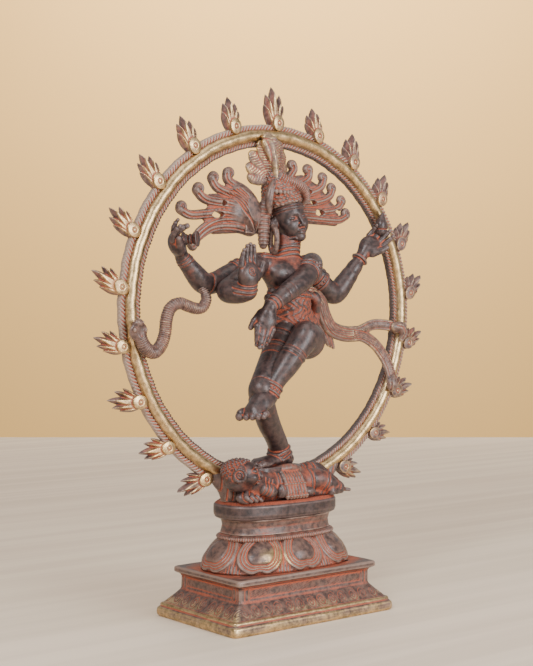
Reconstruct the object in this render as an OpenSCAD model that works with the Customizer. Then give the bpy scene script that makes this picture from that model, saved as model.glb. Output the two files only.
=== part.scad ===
// Cast brass figure of the dancing Nataraja inside a ring of flames, standing on a dwarf
// over a lotus pedestal and a stepped, hollow plinth.
// Millimetres, +Z up. The origin is on the floor under the middle of the plinth and the
// figure faces -Y. "Left" and "right" in the limb names are the figure's own.

/* [Plinth] */
// Width of the plinth at the floor
plinth_w = 128; // [124:1:134]
// Depth of the plinth at the floor
plinth_d = 82; // [78:1:88]
// Height of the rounded foot moulding
foot_h = 8; // [6:0.5:9]
// Height at which the flare meets the upright wall
flare_h = 17; // [15:0.5:19]
// Width of the upright wall
dado_w = 104; // [100:1:108]
// Depth of the upright wall
dado_d = 61; // [58:1:64]
// How far the top lip stands out past the upright wall
lip_out = 3.5; // [2:0.5:5]
// Thickness of the top lip
lip_t = 4; // [3:0.5:5]
// Height of the plinth
plinth_h = 31; // [30:0.5:32]
// Thickness of the cast walls
wall = 4; // [3:0.5:5]

/* [Lotus pedestal] */
// Width of the ring of petals where it meets the plinth
lotus_w = 108; // [102:1:110]
// Depth of the ring of petals where it meets the plinth
lotus_d = 64; // [60:1:66]
// Number of petals around the pedestal
petals = 8; // [8:1:11]
// Width of the beaded band over the petals
band_w = 82; // [80:1:84]
// Depth of the beaded band over the petals
band_d = 45; // [43:1:46]
// Width of the waist under the top slab
waist_w = 76; // [72:1:78]
// Depth of the waist under the top slab
waist_d = 39; // [36:1:41]
// Width of the top slab
slab_w = 85; // [83:1:88]
// Depth of the top slab
slab_d = 44; // [42:1:48]

/* [Flaming arch] */
// Radius of the arch at the crest of its rib
arch_r = 108.5; // [107:0.5:110]
// Height of the arch's centre
arch_z = 190; // [189:0.5:191]
// Width of the flat band
arch_w = 14; // [12:0.5:16]
// Thickness of the flat band
arch_t = 4; // [3:0.5:5]
// Radius of the half-round rib on the front of the band
rib_r = 3.6; // [3:0.1:3.9]
// Angle between neighbouring flames
flame_pitch = 16.8; // [16:0.1:17]
// Length of the main tongue of a flame
flame_len = 19.5; // [17:0.5:21]
// How much longer the topmost tongue is
top_extra = 4; // [0:0.5:5]
// Thickness of a flame
flame_t = 3.2; // [2.4:0.2:4]

/* [Fixings] */
// Diameter of the tie rod that clamps the base together
rod_d = 6; // [5:0.5:8]
// Width of the tie nut across its flats
nut_af = 10; // [10:0.5:13]

/* [Figure] */
// Facets round a thick limb
limb_sides = 12; // [10:2:14]
// Facets round a finger, a lock of hair or a sash
thin_sides = 8; // [6:1:10]

/* [Hidden] */
$fn = 48;
eps = 0.01;

brass_light = [0.74, 0.64, 0.44];
brass_brown = [0.45, 0.32, 0.28];
brass_dark = [0.24, 0.19, 0.18];
red_brown = [0.55, 0.30, 0.23];

FLAMES = 19;
function flame_name(i) = str("flame_", i < 10 ? "0" : "", i);

// Heights of the base, one course on top of another
lotus_z = plinth_h;
band_z = lotus_z + 18;
waist_z = band_z + 4;
slab_z = waist_z + 9;
slab_top = slab_z + 11;
petal_half = 64 / petals - 1;

// Places on the base
rod_y = -6;
rod_slip = 0.5;
washer_d = 16;
washer_t = 2;
nut_t = 5;
pad_z = 88;
pad_h = 5;
rod_low = 16;
rod_high = slab_top + 9;
tenon_x = 37;
tenon_w = 11;
tenon_t = 2.4;

// The arch runs this far each way from its top, and its feet fill the gap to the slab
arch_half = 166;
foot_in = 25;
foot_out = 47;
foot_inset = 0.4;
boss_r = 4.8;
boss_path = arch_r + 8;

// Joints of the figure
neck = [6, -5, 229];
skull = [6, -4, 249];
chin = [6, -11, 237];
crown_low = [3, -4, 257];
crown_high = [-6, -4, 271];
pelvis_r = [-2, -5, 181];
pelvis_l = [17, -3, 181];
navel = [6.5, -6, 196];
chest_r = [-7, -5, 212];
chest_l = [18, -4, 213];
shoulder_r = [-16, -2, 219];
shoulder_l = [27, -2, 219];
hair_y = 4;

// Hand-chosen way points of the snake, from the elbow to the hood on the arch
snake_path = [[-60, -4, 202], [-58, -6, 195], [-64, -6, 190], [-71, -6, 191], [-78, -6, 193],
    [-84, -6, 190], [-87, -6, 184], [-88, -6, 176], [-91, -6, 168], [-98, -7, 164],
    [-104, -8, 168], [-108, -9, 176]];

// ---- helpers ----------------------------------------------------------------

// A box centred on X and Y, standing at height z
module slab_box(w, d, z, h) {
    translate([-w / 2, -d / 2, z]) cube([w, d, h]);
}

// A plate with round corners, centred on X and Y, standing at height z
module round_plate(w, d, z, h, r) {
    translate([0, 0, z]) linear_extrude(h) {
        square([w, d - 2 * r], center = true);
        square([w - 2 * r, d], center = true);
        for (sx = [-1, 1], sy = [-1, 1])
            translate([sx * (w / 2 - r), sy * (d / 2 - r)]) circle(r);
    }
}

module ball(p, r, sides) {
    translate(p) sphere(r = r, $fn = sides);
}

// A run of round tapers through stations, each [place, radius]
module limb(stations, sides = limb_sides) {
    for (i = [0 : len(stations) - 2])
        hull() {
            ball(stations[i][0], stations[i][1], sides);
            ball(stations[i + 1][0], stations[i + 1][1], sides);
        }
}

// A bangle round a limb: a short round collar along the line from a to b
module collar(a, b, r, h) {
    v = b - a;
    translate(a)
        rotate([0, acos(v[2] / norm(v)), atan2(v[1], v[0])])
            cylinder(r = r, h = h, center = true, $fn = 16);
}

// ---- base -------------------------------------------------------------------

// One course of a flared moulding between two rectangles
module course(w0, d0, z0, w1, d1, z1) {
    hull() {
        slab_box(w0, d0, z0, eps);
        slab_box(w1, d1, z1 - eps, eps);
    }
}

module plinth_shell() {
    foot_edge = 1.5;
    lip_w = dado_w + 2 * lip_out;
    lip_d = dado_d + 2 * lip_out;
    flare_w = plinth_w - 4;
    flare_d = plinth_d - 4;
    knee_w = dado_w + 0.3 * (flare_w - dado_w);
    knee_d = dado_d + 0.3 * (flare_d - dado_d);
    knee_z = foot_h + 0.5 * (flare_h - foot_h);
    color(brass_brown) difference() {
        union() {
            course(plinth_w - 2, plinth_d - 2, 0, plinth_w, plinth_d, foot_edge);
            slab_box(plinth_w, plinth_d, foot_edge, foot_h - 2 * foot_edge);
            course(plinth_w, plinth_d, foot_h - foot_edge, flare_w, flare_d, foot_h);
            course(flare_w, flare_d, foot_h, knee_w, knee_d, knee_z);
            course(knee_w, knee_d, knee_z, dado_w, dado_d, flare_h);
            slab_box(dado_w, dado_d, flare_h, plinth_h - flare_h);
            course(dado_w, dado_d, plinth_h - lip_t - 1.5, lip_w, lip_d, plinth_h - lip_t);
            slab_box(lip_w, lip_d, plinth_h - lip_t, lip_t);
        }
        slab_box(plinth_w - 2 * wall - 2, plinth_d - 2 * wall - 2, -1, foot_h);
        slab_box(dado_w - 2 * wall, dado_d - 2 * wall, -1, plinth_h - wall + 1);
        translate([0, rod_y, -1]) cylinder(d = rod_d + rod_slip, h = plinth_h + 2);
    }
}

// The bulging body behind the petals: an oval plate that narrows upwards
module lotus_core() {
    grow = [1, 0.97, 0.9, 0.8];
    top_w = band_w - 4;
    top_d = band_d - 4;
    h = band_z - lotus_z;
    for (k = [0 : 2])
        hull()
            for (j = [k, k + 1]) {
                f = (grow[j] - grow[3]) / (grow[0] - grow[3]);
                w = top_w + f * (lotus_w - 10 - top_w);
                d = top_d + f * (lotus_d - 10 - top_d);
                z = lotus_z + min(j * h / 3, h - eps);
                translate([0, 0, z]) linear_extrude(eps) round_outline(w, d, d * 0.38);
            }
}

module round_outline(w, d, r) {
    hull()
        for (sx = [-1, 1], sy = [-1, 1])
            translate([sx * (w / 2 - r), sy * (d / 2 - r)]) circle(r, $fn = 24);
}

// One broad petal, leaning back against the core at angle a round the pedestal
module petal(a) {
    along = [-sin(a) * lotus_w / lotus_d, cos(a), 0];
    side = petal_half * along / norm(along);
    foot = [cos(a) * (lotus_w / 2 - 4.5), sin(a) * (lotus_d / 2 - 4.5), lotus_z + 4.5];
    brow = [cos(a) * (band_w / 2 - 2.5), sin(a) * (band_d / 2 - 2.5), band_z - 3.2];
    hull() {
        ball(foot - side, 4.2, 10);
        ball(foot + side, 4.2, 10);
        ball(brow, 3, 10);
    }
}

module lotus_pedestal() {
    color(brass_brown) difference() {
        union() {
            lotus_core();
            for (k = [0 : petals - 1]) petal(k * 360 / petals);
        }
        round_plate(waist_w - 8, waist_d - 8, lotus_z - 1, band_z - lotus_z + 2, 12);
    }
}

module bead_moulding() {
    color(brass_brown) difference() {
        round_plate(band_w, band_d, band_z, waist_z - band_z, 20);
        translate([0, rod_y, band_z - 1]) cylinder(d = rod_d + rod_slip, h = 6);
    }
}

module waist_moulding() {
    color(brass_brown) difference() {
        round_plate(waist_w, waist_d, waist_z, slab_z - waist_z, 17);
        round_plate(waist_w - 12, waist_d - 12, waist_z - 1, slab_z - waist_z + 2, 11);
    }
}

module top_slab() {
    color(brass_dark) difference() {
        round_plate(slab_w, slab_d, slab_z, slab_top - slab_z, 19);
        translate([0, rod_y, slab_z - 1]) cylinder(d = rod_d + rod_slip, h = 14);
        for (s = [-1, 1])
            translate([s * tenon_x - tenon_w / 2, 1 - tenon_t / 2, slab_z + 3])
                cube([tenon_w, tenon_t, 9]);
    }
}

module tie_rod() {
    color(brass_light) translate([0, rod_y, rod_low])
        cylinder(d = rod_d, h = rod_high - rod_low);
}

module tie_washer() {
    color(brass_light) translate([0, rod_y, plinth_h - wall - washer_t]) difference() {
        cylinder(d = washer_d, h = washer_t);
        translate([0, 0, -1]) cylinder(d = rod_d + rod_slip, h = washer_t + 2);
    }
}

module tie_nut() {
    color(brass_light) translate([0, rod_y, plinth_h - wall - washer_t - nut_t]) difference() {
        cylinder(d = nut_af / cos(30), h = nut_t, $fn = 6);
        translate([0, 0, -1]) cylinder(d = rod_d, h = nut_t + 2);
    }
}

// ---- arch and flames ----------------------------------------------------------

// Outline that fills the gap between the round band and the top slab at one foot
module arch_foot() {
    steps = 6;
    r_mid = arch_r;
    a_in = asin(foot_in / r_mid);
    a_out = asin(foot_out / r_mid);
    arc = [for (k = [0 : steps]) let (a = a_in + k * (a_out - a_in) / steps)
        [r_mid * sin(a), arch_z - r_mid * cos(a)]];
    polygon(concat(arc, [[foot_out - 4, slab_top], [foot_in + 2, slab_top]]));
}

module arch() {
    color(brass_light) union() {
        rotate([90, 0, 0]) translate([0, arch_z, 0])
            rotate([0, 0, 90 - arch_half]) rotate_extrude(angle = 2 * arch_half, $fn = 96)
                arch_section();
        for (s = [-1, 1])
            translate([0, arch_t - 1 - foot_inset, 0]) rotate([90, 0, 0])
                linear_extrude(arch_t - 2 * foot_inset) mirror([s < 0 ? 1 : 0, 0]) arch_foot();
        for (s = [-1, 1])
            translate([s * tenon_x - tenon_w / 2, 1 - tenon_t / 2, slab_z + 3])
                cube([tenon_w, tenon_t, slab_top - slab_z]);
    }
}

// Flat band with a half-round rib on its front face
module arch_section() {
    translate([arch_r, -arch_t + 1]) translate([-arch_w / 2, 0]) square([arch_w, arch_t]);
    translate([arch_r, 1]) circle(r = rib_r);
}

// Outline of one tongue: it tapers to a point and curls to the side
module tongue(length, width, curl) {
    steps = 6;
    function edge(k, side) = let (s = k / steps)
        [curl * s * s + side * width / 2 * (1 - pow(s, 1.6)), length * s];
    polygon(concat(
        [for (k = [0 : steps]) edge(k, 1)],
        [for (k = [steps - 1 : -1 : 0]) edge(k, -1)]));
}

// One palmette of five tongues over a round boss, with its main tongue along +Y
module flame(length) {
    spread = [-62, -32, 0, 30, 58];
    share = [0.55, 0.78, 1, 0.74, 0.5];
    linear_extrude(flame_t)
        for (k = [0 : 4])
            rotate(-spread[k])
                tongue(length * share[k], 6.2, length * 0.008 * (k - 2) * -7);
    cylinder(r = boss_r, h = flame_t + 1.2);
}

// Lean of a flame from upright, growing as it comes down each side of the arch
function flame_lean(i) = let (a = abs(i) * flame_pitch)
    i == 0 ? 0 : i < 0 ? 9 - 0.75 * a : 0.85 * a - 28;

// Flame number n, counted from the foot of the arch on the figure's right, over the top
module flame_node(n) {
    i = n - 1 - (FLAMES - 1) / 2;
    a = i * flame_pitch;
    length = i == 0 ? flame_len + top_extra : flame_len;
    color(brass_light) difference() {
        translate([boss_path * sin(a), arch_t - 1.4, arch_z + boss_path * cos(a)])
            rotate([90, 0, 0]) rotate(-flame_lean(i)) flame(length);
        translate([0, 0, arch_z]) rotate([90, 0, 0])
            cylinder(r = arch_r + arch_w / 2, h = 40, center = true, $fn = 96);
    }
}

// ---- dwarf --------------------------------------------------------------------

module dwarf_head_form() {
    limb([[[-38, -13, 90], 9.6], [[-35, -15, 91], 9.4], [[-31, -18, 88], 6]]);
}

module dwarf_head() {
    color(red_brown) above_slab() dwarf_head_form();
}

// Keeps only what lies above the top slab
module above_slab() {
    intersection() {
        children();
        translate([-80, -60, slab_top]) cube([160, 120, 60]);
    }
}

module dwarf_form() {
    limb([[[-31, -10, 84], 8], [[-16, -8, 82], 9], [[2, -8, 81], 9], [[16, -6, 81], 9.5],
          [[28, -4, 81], 8], [[37, -5, 78], 5]]);
    limb([[[14, -12, 80], 7], [[27, -12, 78], 6], [[35, -12, 76], 4]]);
    limb([[[-24, -12, 80], 6], [[-16, -17, 77], 5], [[-11, -17, 77], 4.5]]);
}

module dwarf_body() {
    color(red_brown) difference() {
        above_slab() dwarf_form();
        dwarf_head_form();
        foot_pad_form();
        translate([0, rod_y, slab_top - 1]) cylinder(d = rod_d, h = rod_high - slab_top + 1);
        arch();
    }
}

// Pleated cloth that hangs over the dwarf's waist to the slab
module dwarf_cloth() {
    color(red_brown) difference() {
        above_slab()
            for (k = [-2 : 2])
                limb([[[2 + k * 2.2, -13, 87], 1.8], [[3 + k * 2.4, -17.5, 81], 1.8],
                      [[4 + k * 2.6, -19, 73], 1.8]], thin_sides);
        dwarf_form();
        foot_pad_form();
    }
}

module foot_pad_form() {
    hull() {
        translate([7, -3, pad_z]) cylinder(r = 7.6, h = pad_h, $fn = 24);
        translate([-19, -7, pad_z]) cylinder(r = 6.6, h = pad_h, $fn = 24);
    }
}

module foot_pad() {
    color(brass_dark) difference() {
        foot_pad_form();
        dwarf_head_form();
    }
}

// ---- figure -------------------------------------------------------------------

module torso_form() {
    limb([[pelvis_r, 10], [pelvis_l, 10]]);
    limb([[pelvis_r, 10], [navel, 9.5], [chest_r, 9]]);
    limb([[pelvis_l, 10], [navel, 9.5], [chest_l, 9]]);
    limb([[chest_r, 9], [chest_l, 9]]);
    limb([[chest_r, 8.5], [shoulder_r, 6.5], [neck, 6]]);
    limb([[chest_l, 8.5], [shoulder_l, 6.5], [neck, 6]]);
}

module torso() {
    color(brass_dark) difference() {
        torso_form();
        arms_and_legs();
        head_form();
    }
}

module arms_and_legs() {
    arm_drum_form();
    arm_flame_form();
    arm_blessing_form();
    arm_crossing_form();
    leg_standing_form();
    leg_raised_form();
}

module head_form() {
    limb([[skull, 11], [chin, 5]]);
    limb([[skull, 10], [[6, -10, 245], 8.5], [chin, 5]]);
    limb([[[6, -5, 238], 6.5], [neck, 5.5]]);
    limb([[[6, -13.5, 248], 1.6], [[6, -17, 243.5], 1.9]], thin_sides);
    for (s = [-1, 1])
        limb([[[6 + s * 10, -4, 248], 2.5], [[6 + s * 10.5, -4, 242], 2.2]], thin_sides);
    collar(neck, skull, 6.2, 2);
}

module head() {
    color(brass_dark) head_form();
}

module crown_form() {
    limb([[crown_low, 12.2], [[-1, -4, 265], 9], [crown_high, 5.5]]);
    limb([[[-9, -8, 263], 2.4], [[-12, -8, 257], 2.4], [[-13, -7, 251], 1.8]], thin_sides);
    limb([[[16, -6, 262], 3], [[10, -8, 270], 3], [[2, -8, 274], 2.6]], thin_sides);
    limb([[[16, 0, 262], 3], [[18, 0, 254], 3]], thin_sides);
    limb([[[-10, 0, 262], 3], [[-11, 0, 254], 3]], thin_sides);
}

module crown() {
    color(brass_brown) difference() {
        crown_form();
        head_form();
    }
}

// Feathers rise in a ruff that wraps back round the crown
module feather_fan() {
    count = 9;
    base = [-7, -6, 272];
    color(brass_light) difference() {
        for (k = [0 : count - 1]) {
            b = -88 + k * 176 / (count - 1);
            reach = 17 + 5 * cos(b);
            way = [sin(b) * 0.9, abs(sin(b)) * 0.42, cos(b)];
            limb([[base + 3 * way, 1.6], [base + 0.75 * reach * way, 2.6],
                  [base + reach * way, 1.5]], thin_sides);
        }
        crown_form();
        crown_post_form();
        arch();
    }
}

// The tallest feather runs up to the arch and laps over its rib
module crown_post_form() {
    limb([[[-7, -8.5, 271], 2.4], [[-8, -9, 285], 2.5], [[-9.5, -8, 295], 2.7],
          [[-10, -6.5, 299.5], 2.4]]);
}

module crown_post() {
    color(brass_light) difference() {
        crown_post_form();
        crown_form();
        arch();
    }
}

// Long looped ear pendants that reach the shoulders
module ear_pendants() {
    color(brass_brown) difference() {
        for (s = [-1, 1])
            translate([6 + s * 11.5, -3, 235]) rotate([0, 90, 90 + s * 60])
                rotate_extrude($fn = 18) translate([6.5, 0]) circle(1.7, $fn = 9);
        head_form();
        torso_form();
    }
}

// ---- hair ---------------------------------------------------------------------

// One lock that runs outwards from the head and ends in a curl
module lock(from, elbow, tip) {
    limb([[from, 2.8], [elbow, 2.6], [tip, 2.2]], thin_sides);
    ball(tip + [1.6, -0.4, 0.6], 2.6, thin_sides);
}

module hair_left_form() {
    root = [-21, hair_y, 246];
    tips = [[-70, 251], [-57, 263], [-45, 270], [-33, 273], [-62, 230]];
    elbows = [[-52, 246], [-44, 254], [-36, 260], [-27, 264], [-48, 238]];
    for (k = [0 : len(tips) - 1])
        lock(root + [0, 0, 2 * (k - 2)], [elbows[k][0], hair_y, elbows[k][1]],
             [tips[k][0], hair_y, tips[k][1]]);
    hull() {
        ball([-21, hair_y, 240], 3.5, limb_sides);
        ball([-20, hair_y, 256], 4, limb_sides);
        ball([-27, hair_y, 262], 3, limb_sides);
        ball([-40, hair_y, 240], 2.4, limb_sides);
    }
}

module hair_left() {
    color(brass_brown) difference() {
        hair_left_form();
        arm_drum_form();
    }
}

module hair_right_form() {
    root = [18, hair_y, 256];
    tips = [[64, 254], [60, 261], [51, 269], [43, 275], [31, 280], [19, 283]];
    elbows = [[50, 249], [48, 254], [42, 260], [35, 265], [26, 270], [16, 272]];
    for (k = [0 : len(tips) - 1])
        lock(root + [0, 0, 1.5 * (k - 3)], [elbows[k][0], hair_y, elbows[k][1]],
             [tips[k][0], hair_y, tips[k][1]]);
    hull() {
        ball([15, hair_y, 252], 3.5, limb_sides);
        ball([14, hair_y, 266], 3.5, limb_sides);
        ball([30, hair_y, 262], 2.4, limb_sides);
    }
}

module hair_right() {
    color(brass_brown) difference() {
        hair_right_form();
        head_form();
        crown_form();
        feather_fan();
    }
}

// Plain bar that joins the loose hair to the back of the head
module hair_bridge() {
    color(brass_dark) difference() {
        translate([-24, -1, 237]) cube([20, 7, 17]);
        head_form();
        crown_form();
        hair_left_form();
    }
}

// ---- arms ---------------------------------------------------------------------

module arm_drum_form() {
    elbow = [-55, 0, 206];
    wrist = [-73, -2, 221];
    limb([[[-14, 2, 217], 6], [[-34, 1, 211], 6.2], [elbow, 5.4], [[-64, -1, 213], 5], [wrist, 4],
          [[-77, -4, 229], 5]]);
    limb([[[-77, -4, 229], 4.4], [[-82, -5, 237], 2.6], [[-76, -6, 241], 2.2]], thin_sides);
    limb([[[-78, -5, 231], 3], [[-74, -9, 236], 2.2]], thin_sides);
}

module arm_drum() {
    color(brass_dark) difference() {
        arm_drum_form();
        arm_blessing_form();
        drum_form();
    }
}

// Small drum held between the fingers
module drum_form() {
    translate([-70.5, -6, 231]) rotate([0, 90, 50]) rotate_extrude($fn = 24)
        polygon([[0, -5], [4.8, -5], [3, 0], [4.8, 5], [0, 5]]);
}

module drum() {
    color(brass_dark) drum_form();
}

module arm_flame_form() {
    elbow = [49, 0, 200];
    wrist = [69, -3, 224];
    limb([[[26, 1, 214], 6], [[38, 0, 207], 6], [elbow, 5.6], [[58, -1, 211], 5.2], [wrist, 4],
          [[76, -5, 236], 4.6]]);
    limb([[[76, -5, 237], 3], [[86, -7, 241], 2.4], [[97, -9, 239], 2]], thin_sides);
    limb([[[76, -5, 236], 3], [[80, -9, 243], 2.2]], thin_sides);
    collar(wrist, [76, -5, 236], 5.4, 2.4);
}

module arm_flame() {
    color(brass_dark) difference() {
        arm_flame_form();
        arm_crossing_form();
        hand_flame_form();
        arch();
    }
}

module hand_flame_form() {
    limb([[[84, -8, 243], 3], [[84, -8, 248], 3.2], [[84, -8, 255], 1]], thin_sides);
}

module hand_flame() {
    color(brass_brown) difference() {
        hand_flame_form();
        arch();
    }
}

module arm_blessing_form() {
    elbow = [-48, -12, 201];
    wrist = [-42, -27, 201];
    limb([[[-15, -5, 217], 6], [[-32, -9, 209], 6], [elbow, 5.6], [wrist, 4.4],
          [[-45, -29, 214], 5]]);
    limb([[[-47, -29, 215], 3], [[-47, -29, 226], 2.3]], thin_sides);
    limb([[[-43, -29, 215], 3], [[-43, -29, 227], 2.3]], thin_sides);
    limb([[[-42, -29, 212], 2.8], [[-37, -28, 221], 2]], thin_sides);
}

module arm_blessing() {
    color(brass_dark) arm_blessing_form();
}

module arm_crossing_form() {
    elbow = [4, -20, 207];
    wrist = [-24, -24, 192];
    limb([[[26, -6, 219], 6.2], [[16, -14, 213], 6], [elbow, 5.6], [[-10, -22, 200], 5], [wrist, 4],
          [[-28, -25, 183], 5]]);
    limb([[[-28, -26, 182], 3.6], [[-32, -27, 169], 2.4]], thin_sides);
    limb([[[-30, -25, 183], 3.6], [[-34, -26, 170], 2.2]], thin_sides);
    limb([[[-25, -25, 184], 2.6], [[-24, -26, 175], 2]], thin_sides);
    collar(wrist, elbow, 5.2, 2.4);
}

module arm_crossing() {
    color(brass_dark) difference() {
        arm_crossing_form();
        leg_raised_form();
    }
}

// ---- legs ---------------------------------------------------------------------

module leg_standing_form() {
    knee = [-28, -19, 142];
    ankle = [2, -2, 103];
    limb([[[0, -6, 177], 10.2], [[-13, -13, 157], 8], [knee, 7], [[-15, -11, 122], 6.4], [ankle, 5.4],
          [[7, 0, 97], 4.8]]);
    limb([[[4, -2, 97], 4.8], [[-11, -5, 96.5], 4], [[-22, -7, 96], 2.8]]);
    collar(ankle, knee, 6.4, 3);
}

module leg_standing() {
    color(brass_dark) difference() {
        leg_standing_form();
        leg_raised_form();
        foot_pad_form();
    }
}

module leg_raised_form() {
    knee = [4, -24.5, 174.5];
    ankle = [-22.5, -22, 140.5];
    limb([[[20, -3, 172], 10.5], [[14, -14, 171], 10.2], [knee, 8], [[-10, -24, 158], 6.6],
          [ankle, 4.8], [[-24, -21.5, 136], 4.8]]);
    limb([[[-24, -21.5, 136], 4.8], [[-35, -19, 130.5], 4.2], [[-46, -19.5, 125], 2.8]]);
    limb([[[-24, -21.5, 136], 4.8], [[-32, -28, 129], 4], [[-41, -33, 124], 2.6]]);
    limb([[[-35, -19, 130.5], 4], [[-32, -28, 129], 4], [[-44, -27, 124.5], 3]]);
    collar(ankle, knee, 6.2, 3);
}

module leg_raised() {
    color(brass_dark) difference() {
        leg_raised_form();
        torso_core();
    }
}

// The part of the torso that the raised thigh doesn't pass into
module torso_core() {
    ball(navel, 6, limb_sides);
}

// ---- snake, sash and tail -------------------------------------------------------

module cobra() {
    last = len(snake_path) - 1;
    color(brass_brown) difference() {
        union() {
            limb([for (k = [0 : last]) [snake_path[k], 3 + k * 0.1]], thin_sides);
            hull() {
                ball(snake_path[last] + [-4, 0, -1], 3, thin_sides);
                ball(snake_path[last] + [4, 0, -1], 3, thin_sides);
                ball(snake_path[last] + [0, -1, 6], 2.4, thin_sides);
            }
        }
        arm_drum_form();
        arch();
    }
}

module sash() {
    r = 2.8;
    fork = [70, 0, 175];
    color(brass_brown) difference() {
        union() {
            limb([[[20, 0, 199], r], [[35, 0, 197], r], [[41, 0, 183], r], [[51, 0, 176], r], [fork, r]],
                 thin_sides);
            limb([[fork, r], [[80, 0, 180], r], [[93, -3, 180], r], [[103, -6, 176], r + 1]], thin_sides);
            limb([[fork, r], [[80, 0, 169], r], [[89, -2, 162], r], [[94, -4, 152], r],
                  [[94.5, -6, 141], r]], thin_sides);
        }
        torso_form();
        arms_and_legs();
        arch();
    }
}

// Short end of cloth that hangs behind the hip
module hip_tail() {
    color(red_brown) difference() {
        limb([[[24, 2, 186], 4], [[37, 2, 183], 3], [[43, 2, 176], 3], [[48, 2, 167], 2]], thin_sides);
        torso_form();
        arms_and_legs();
    }
}

// ---- assembly -------------------------------------------------------------------

plinth_shell();
lotus_pedestal();
bead_moulding();
waist_moulding();
top_slab();
tie_rod();
tie_washer();
tie_nut();
arch();
for (n = [1 : FLAMES])
    flame_node(n);
dwarf_body();
dwarf_head();
dwarf_cloth();
foot_pad();
torso();
head();
crown();
feather_fan();
crown_post();
ear_pendants();
hair_left();
hair_right();
hair_bridge();
arm_drum();
arm_flame();
arm_blessing();
arm_crossing();
drum();
hand_flame();
leg_standing();
leg_raised();
cobra();
sash();
hip_tail();
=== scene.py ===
import math

import bpy
import numpy as np
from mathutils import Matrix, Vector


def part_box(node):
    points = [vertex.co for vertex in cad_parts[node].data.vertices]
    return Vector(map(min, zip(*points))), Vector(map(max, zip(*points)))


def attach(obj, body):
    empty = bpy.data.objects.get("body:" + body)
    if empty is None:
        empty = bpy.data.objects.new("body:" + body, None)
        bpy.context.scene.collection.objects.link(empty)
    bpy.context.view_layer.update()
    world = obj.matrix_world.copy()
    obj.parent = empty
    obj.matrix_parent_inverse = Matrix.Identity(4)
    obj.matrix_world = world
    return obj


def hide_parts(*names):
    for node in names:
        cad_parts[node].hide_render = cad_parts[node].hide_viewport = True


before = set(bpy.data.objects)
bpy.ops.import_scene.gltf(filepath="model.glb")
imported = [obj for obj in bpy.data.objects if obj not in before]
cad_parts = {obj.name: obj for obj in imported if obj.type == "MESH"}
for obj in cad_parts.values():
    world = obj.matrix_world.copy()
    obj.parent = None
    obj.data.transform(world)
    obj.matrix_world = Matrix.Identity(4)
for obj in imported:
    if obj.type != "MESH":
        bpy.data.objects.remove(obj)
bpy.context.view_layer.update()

import openvdb
from mathutils import Vector

MM = 0.001

# ---- sculpting in signed distances, in millimetres ------------------------------


def v3(*p):
    return np.array(p, float)


def unit(v):
    return v / np.linalg.norm(v)


def soft_min(a, b, k):
    """The smaller of two distances, with a fillet of about k where they meet."""
    if k <= 0:
        return np.minimum(a, b)
    h = np.clip(0.5 + 0.5 * (b - a) / k, 0, 1)
    return b + (a - b) * h - k * h * (1 - h)


def step(e0, e1, x):
    t = np.clip((x - e0) / (e1 - e0), 0, 1)
    return t * t * (3 - 2 * t)


def spline(points, per=8):
    """Smooth curve through points of any width."""
    p = np.array(points, float)
    p = np.vstack([2 * p[0] - p[1], p, 2 * p[-1] - p[-2]])
    out = []
    for i in range(1, len(p) - 2):
        for t in np.linspace(0, 1, per, endpoint=False):
            a, b, c, d = p[i - 1 : i + 3]
            out.append(0.5 * (2 * b + (c - a) * t + (2 * a - 5 * b + 4 * c - d) * t * t
                              + (3 * b - 3 * c + d - a) * t ** 3))
    out.append(p[-2])
    return np.array(out)


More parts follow.
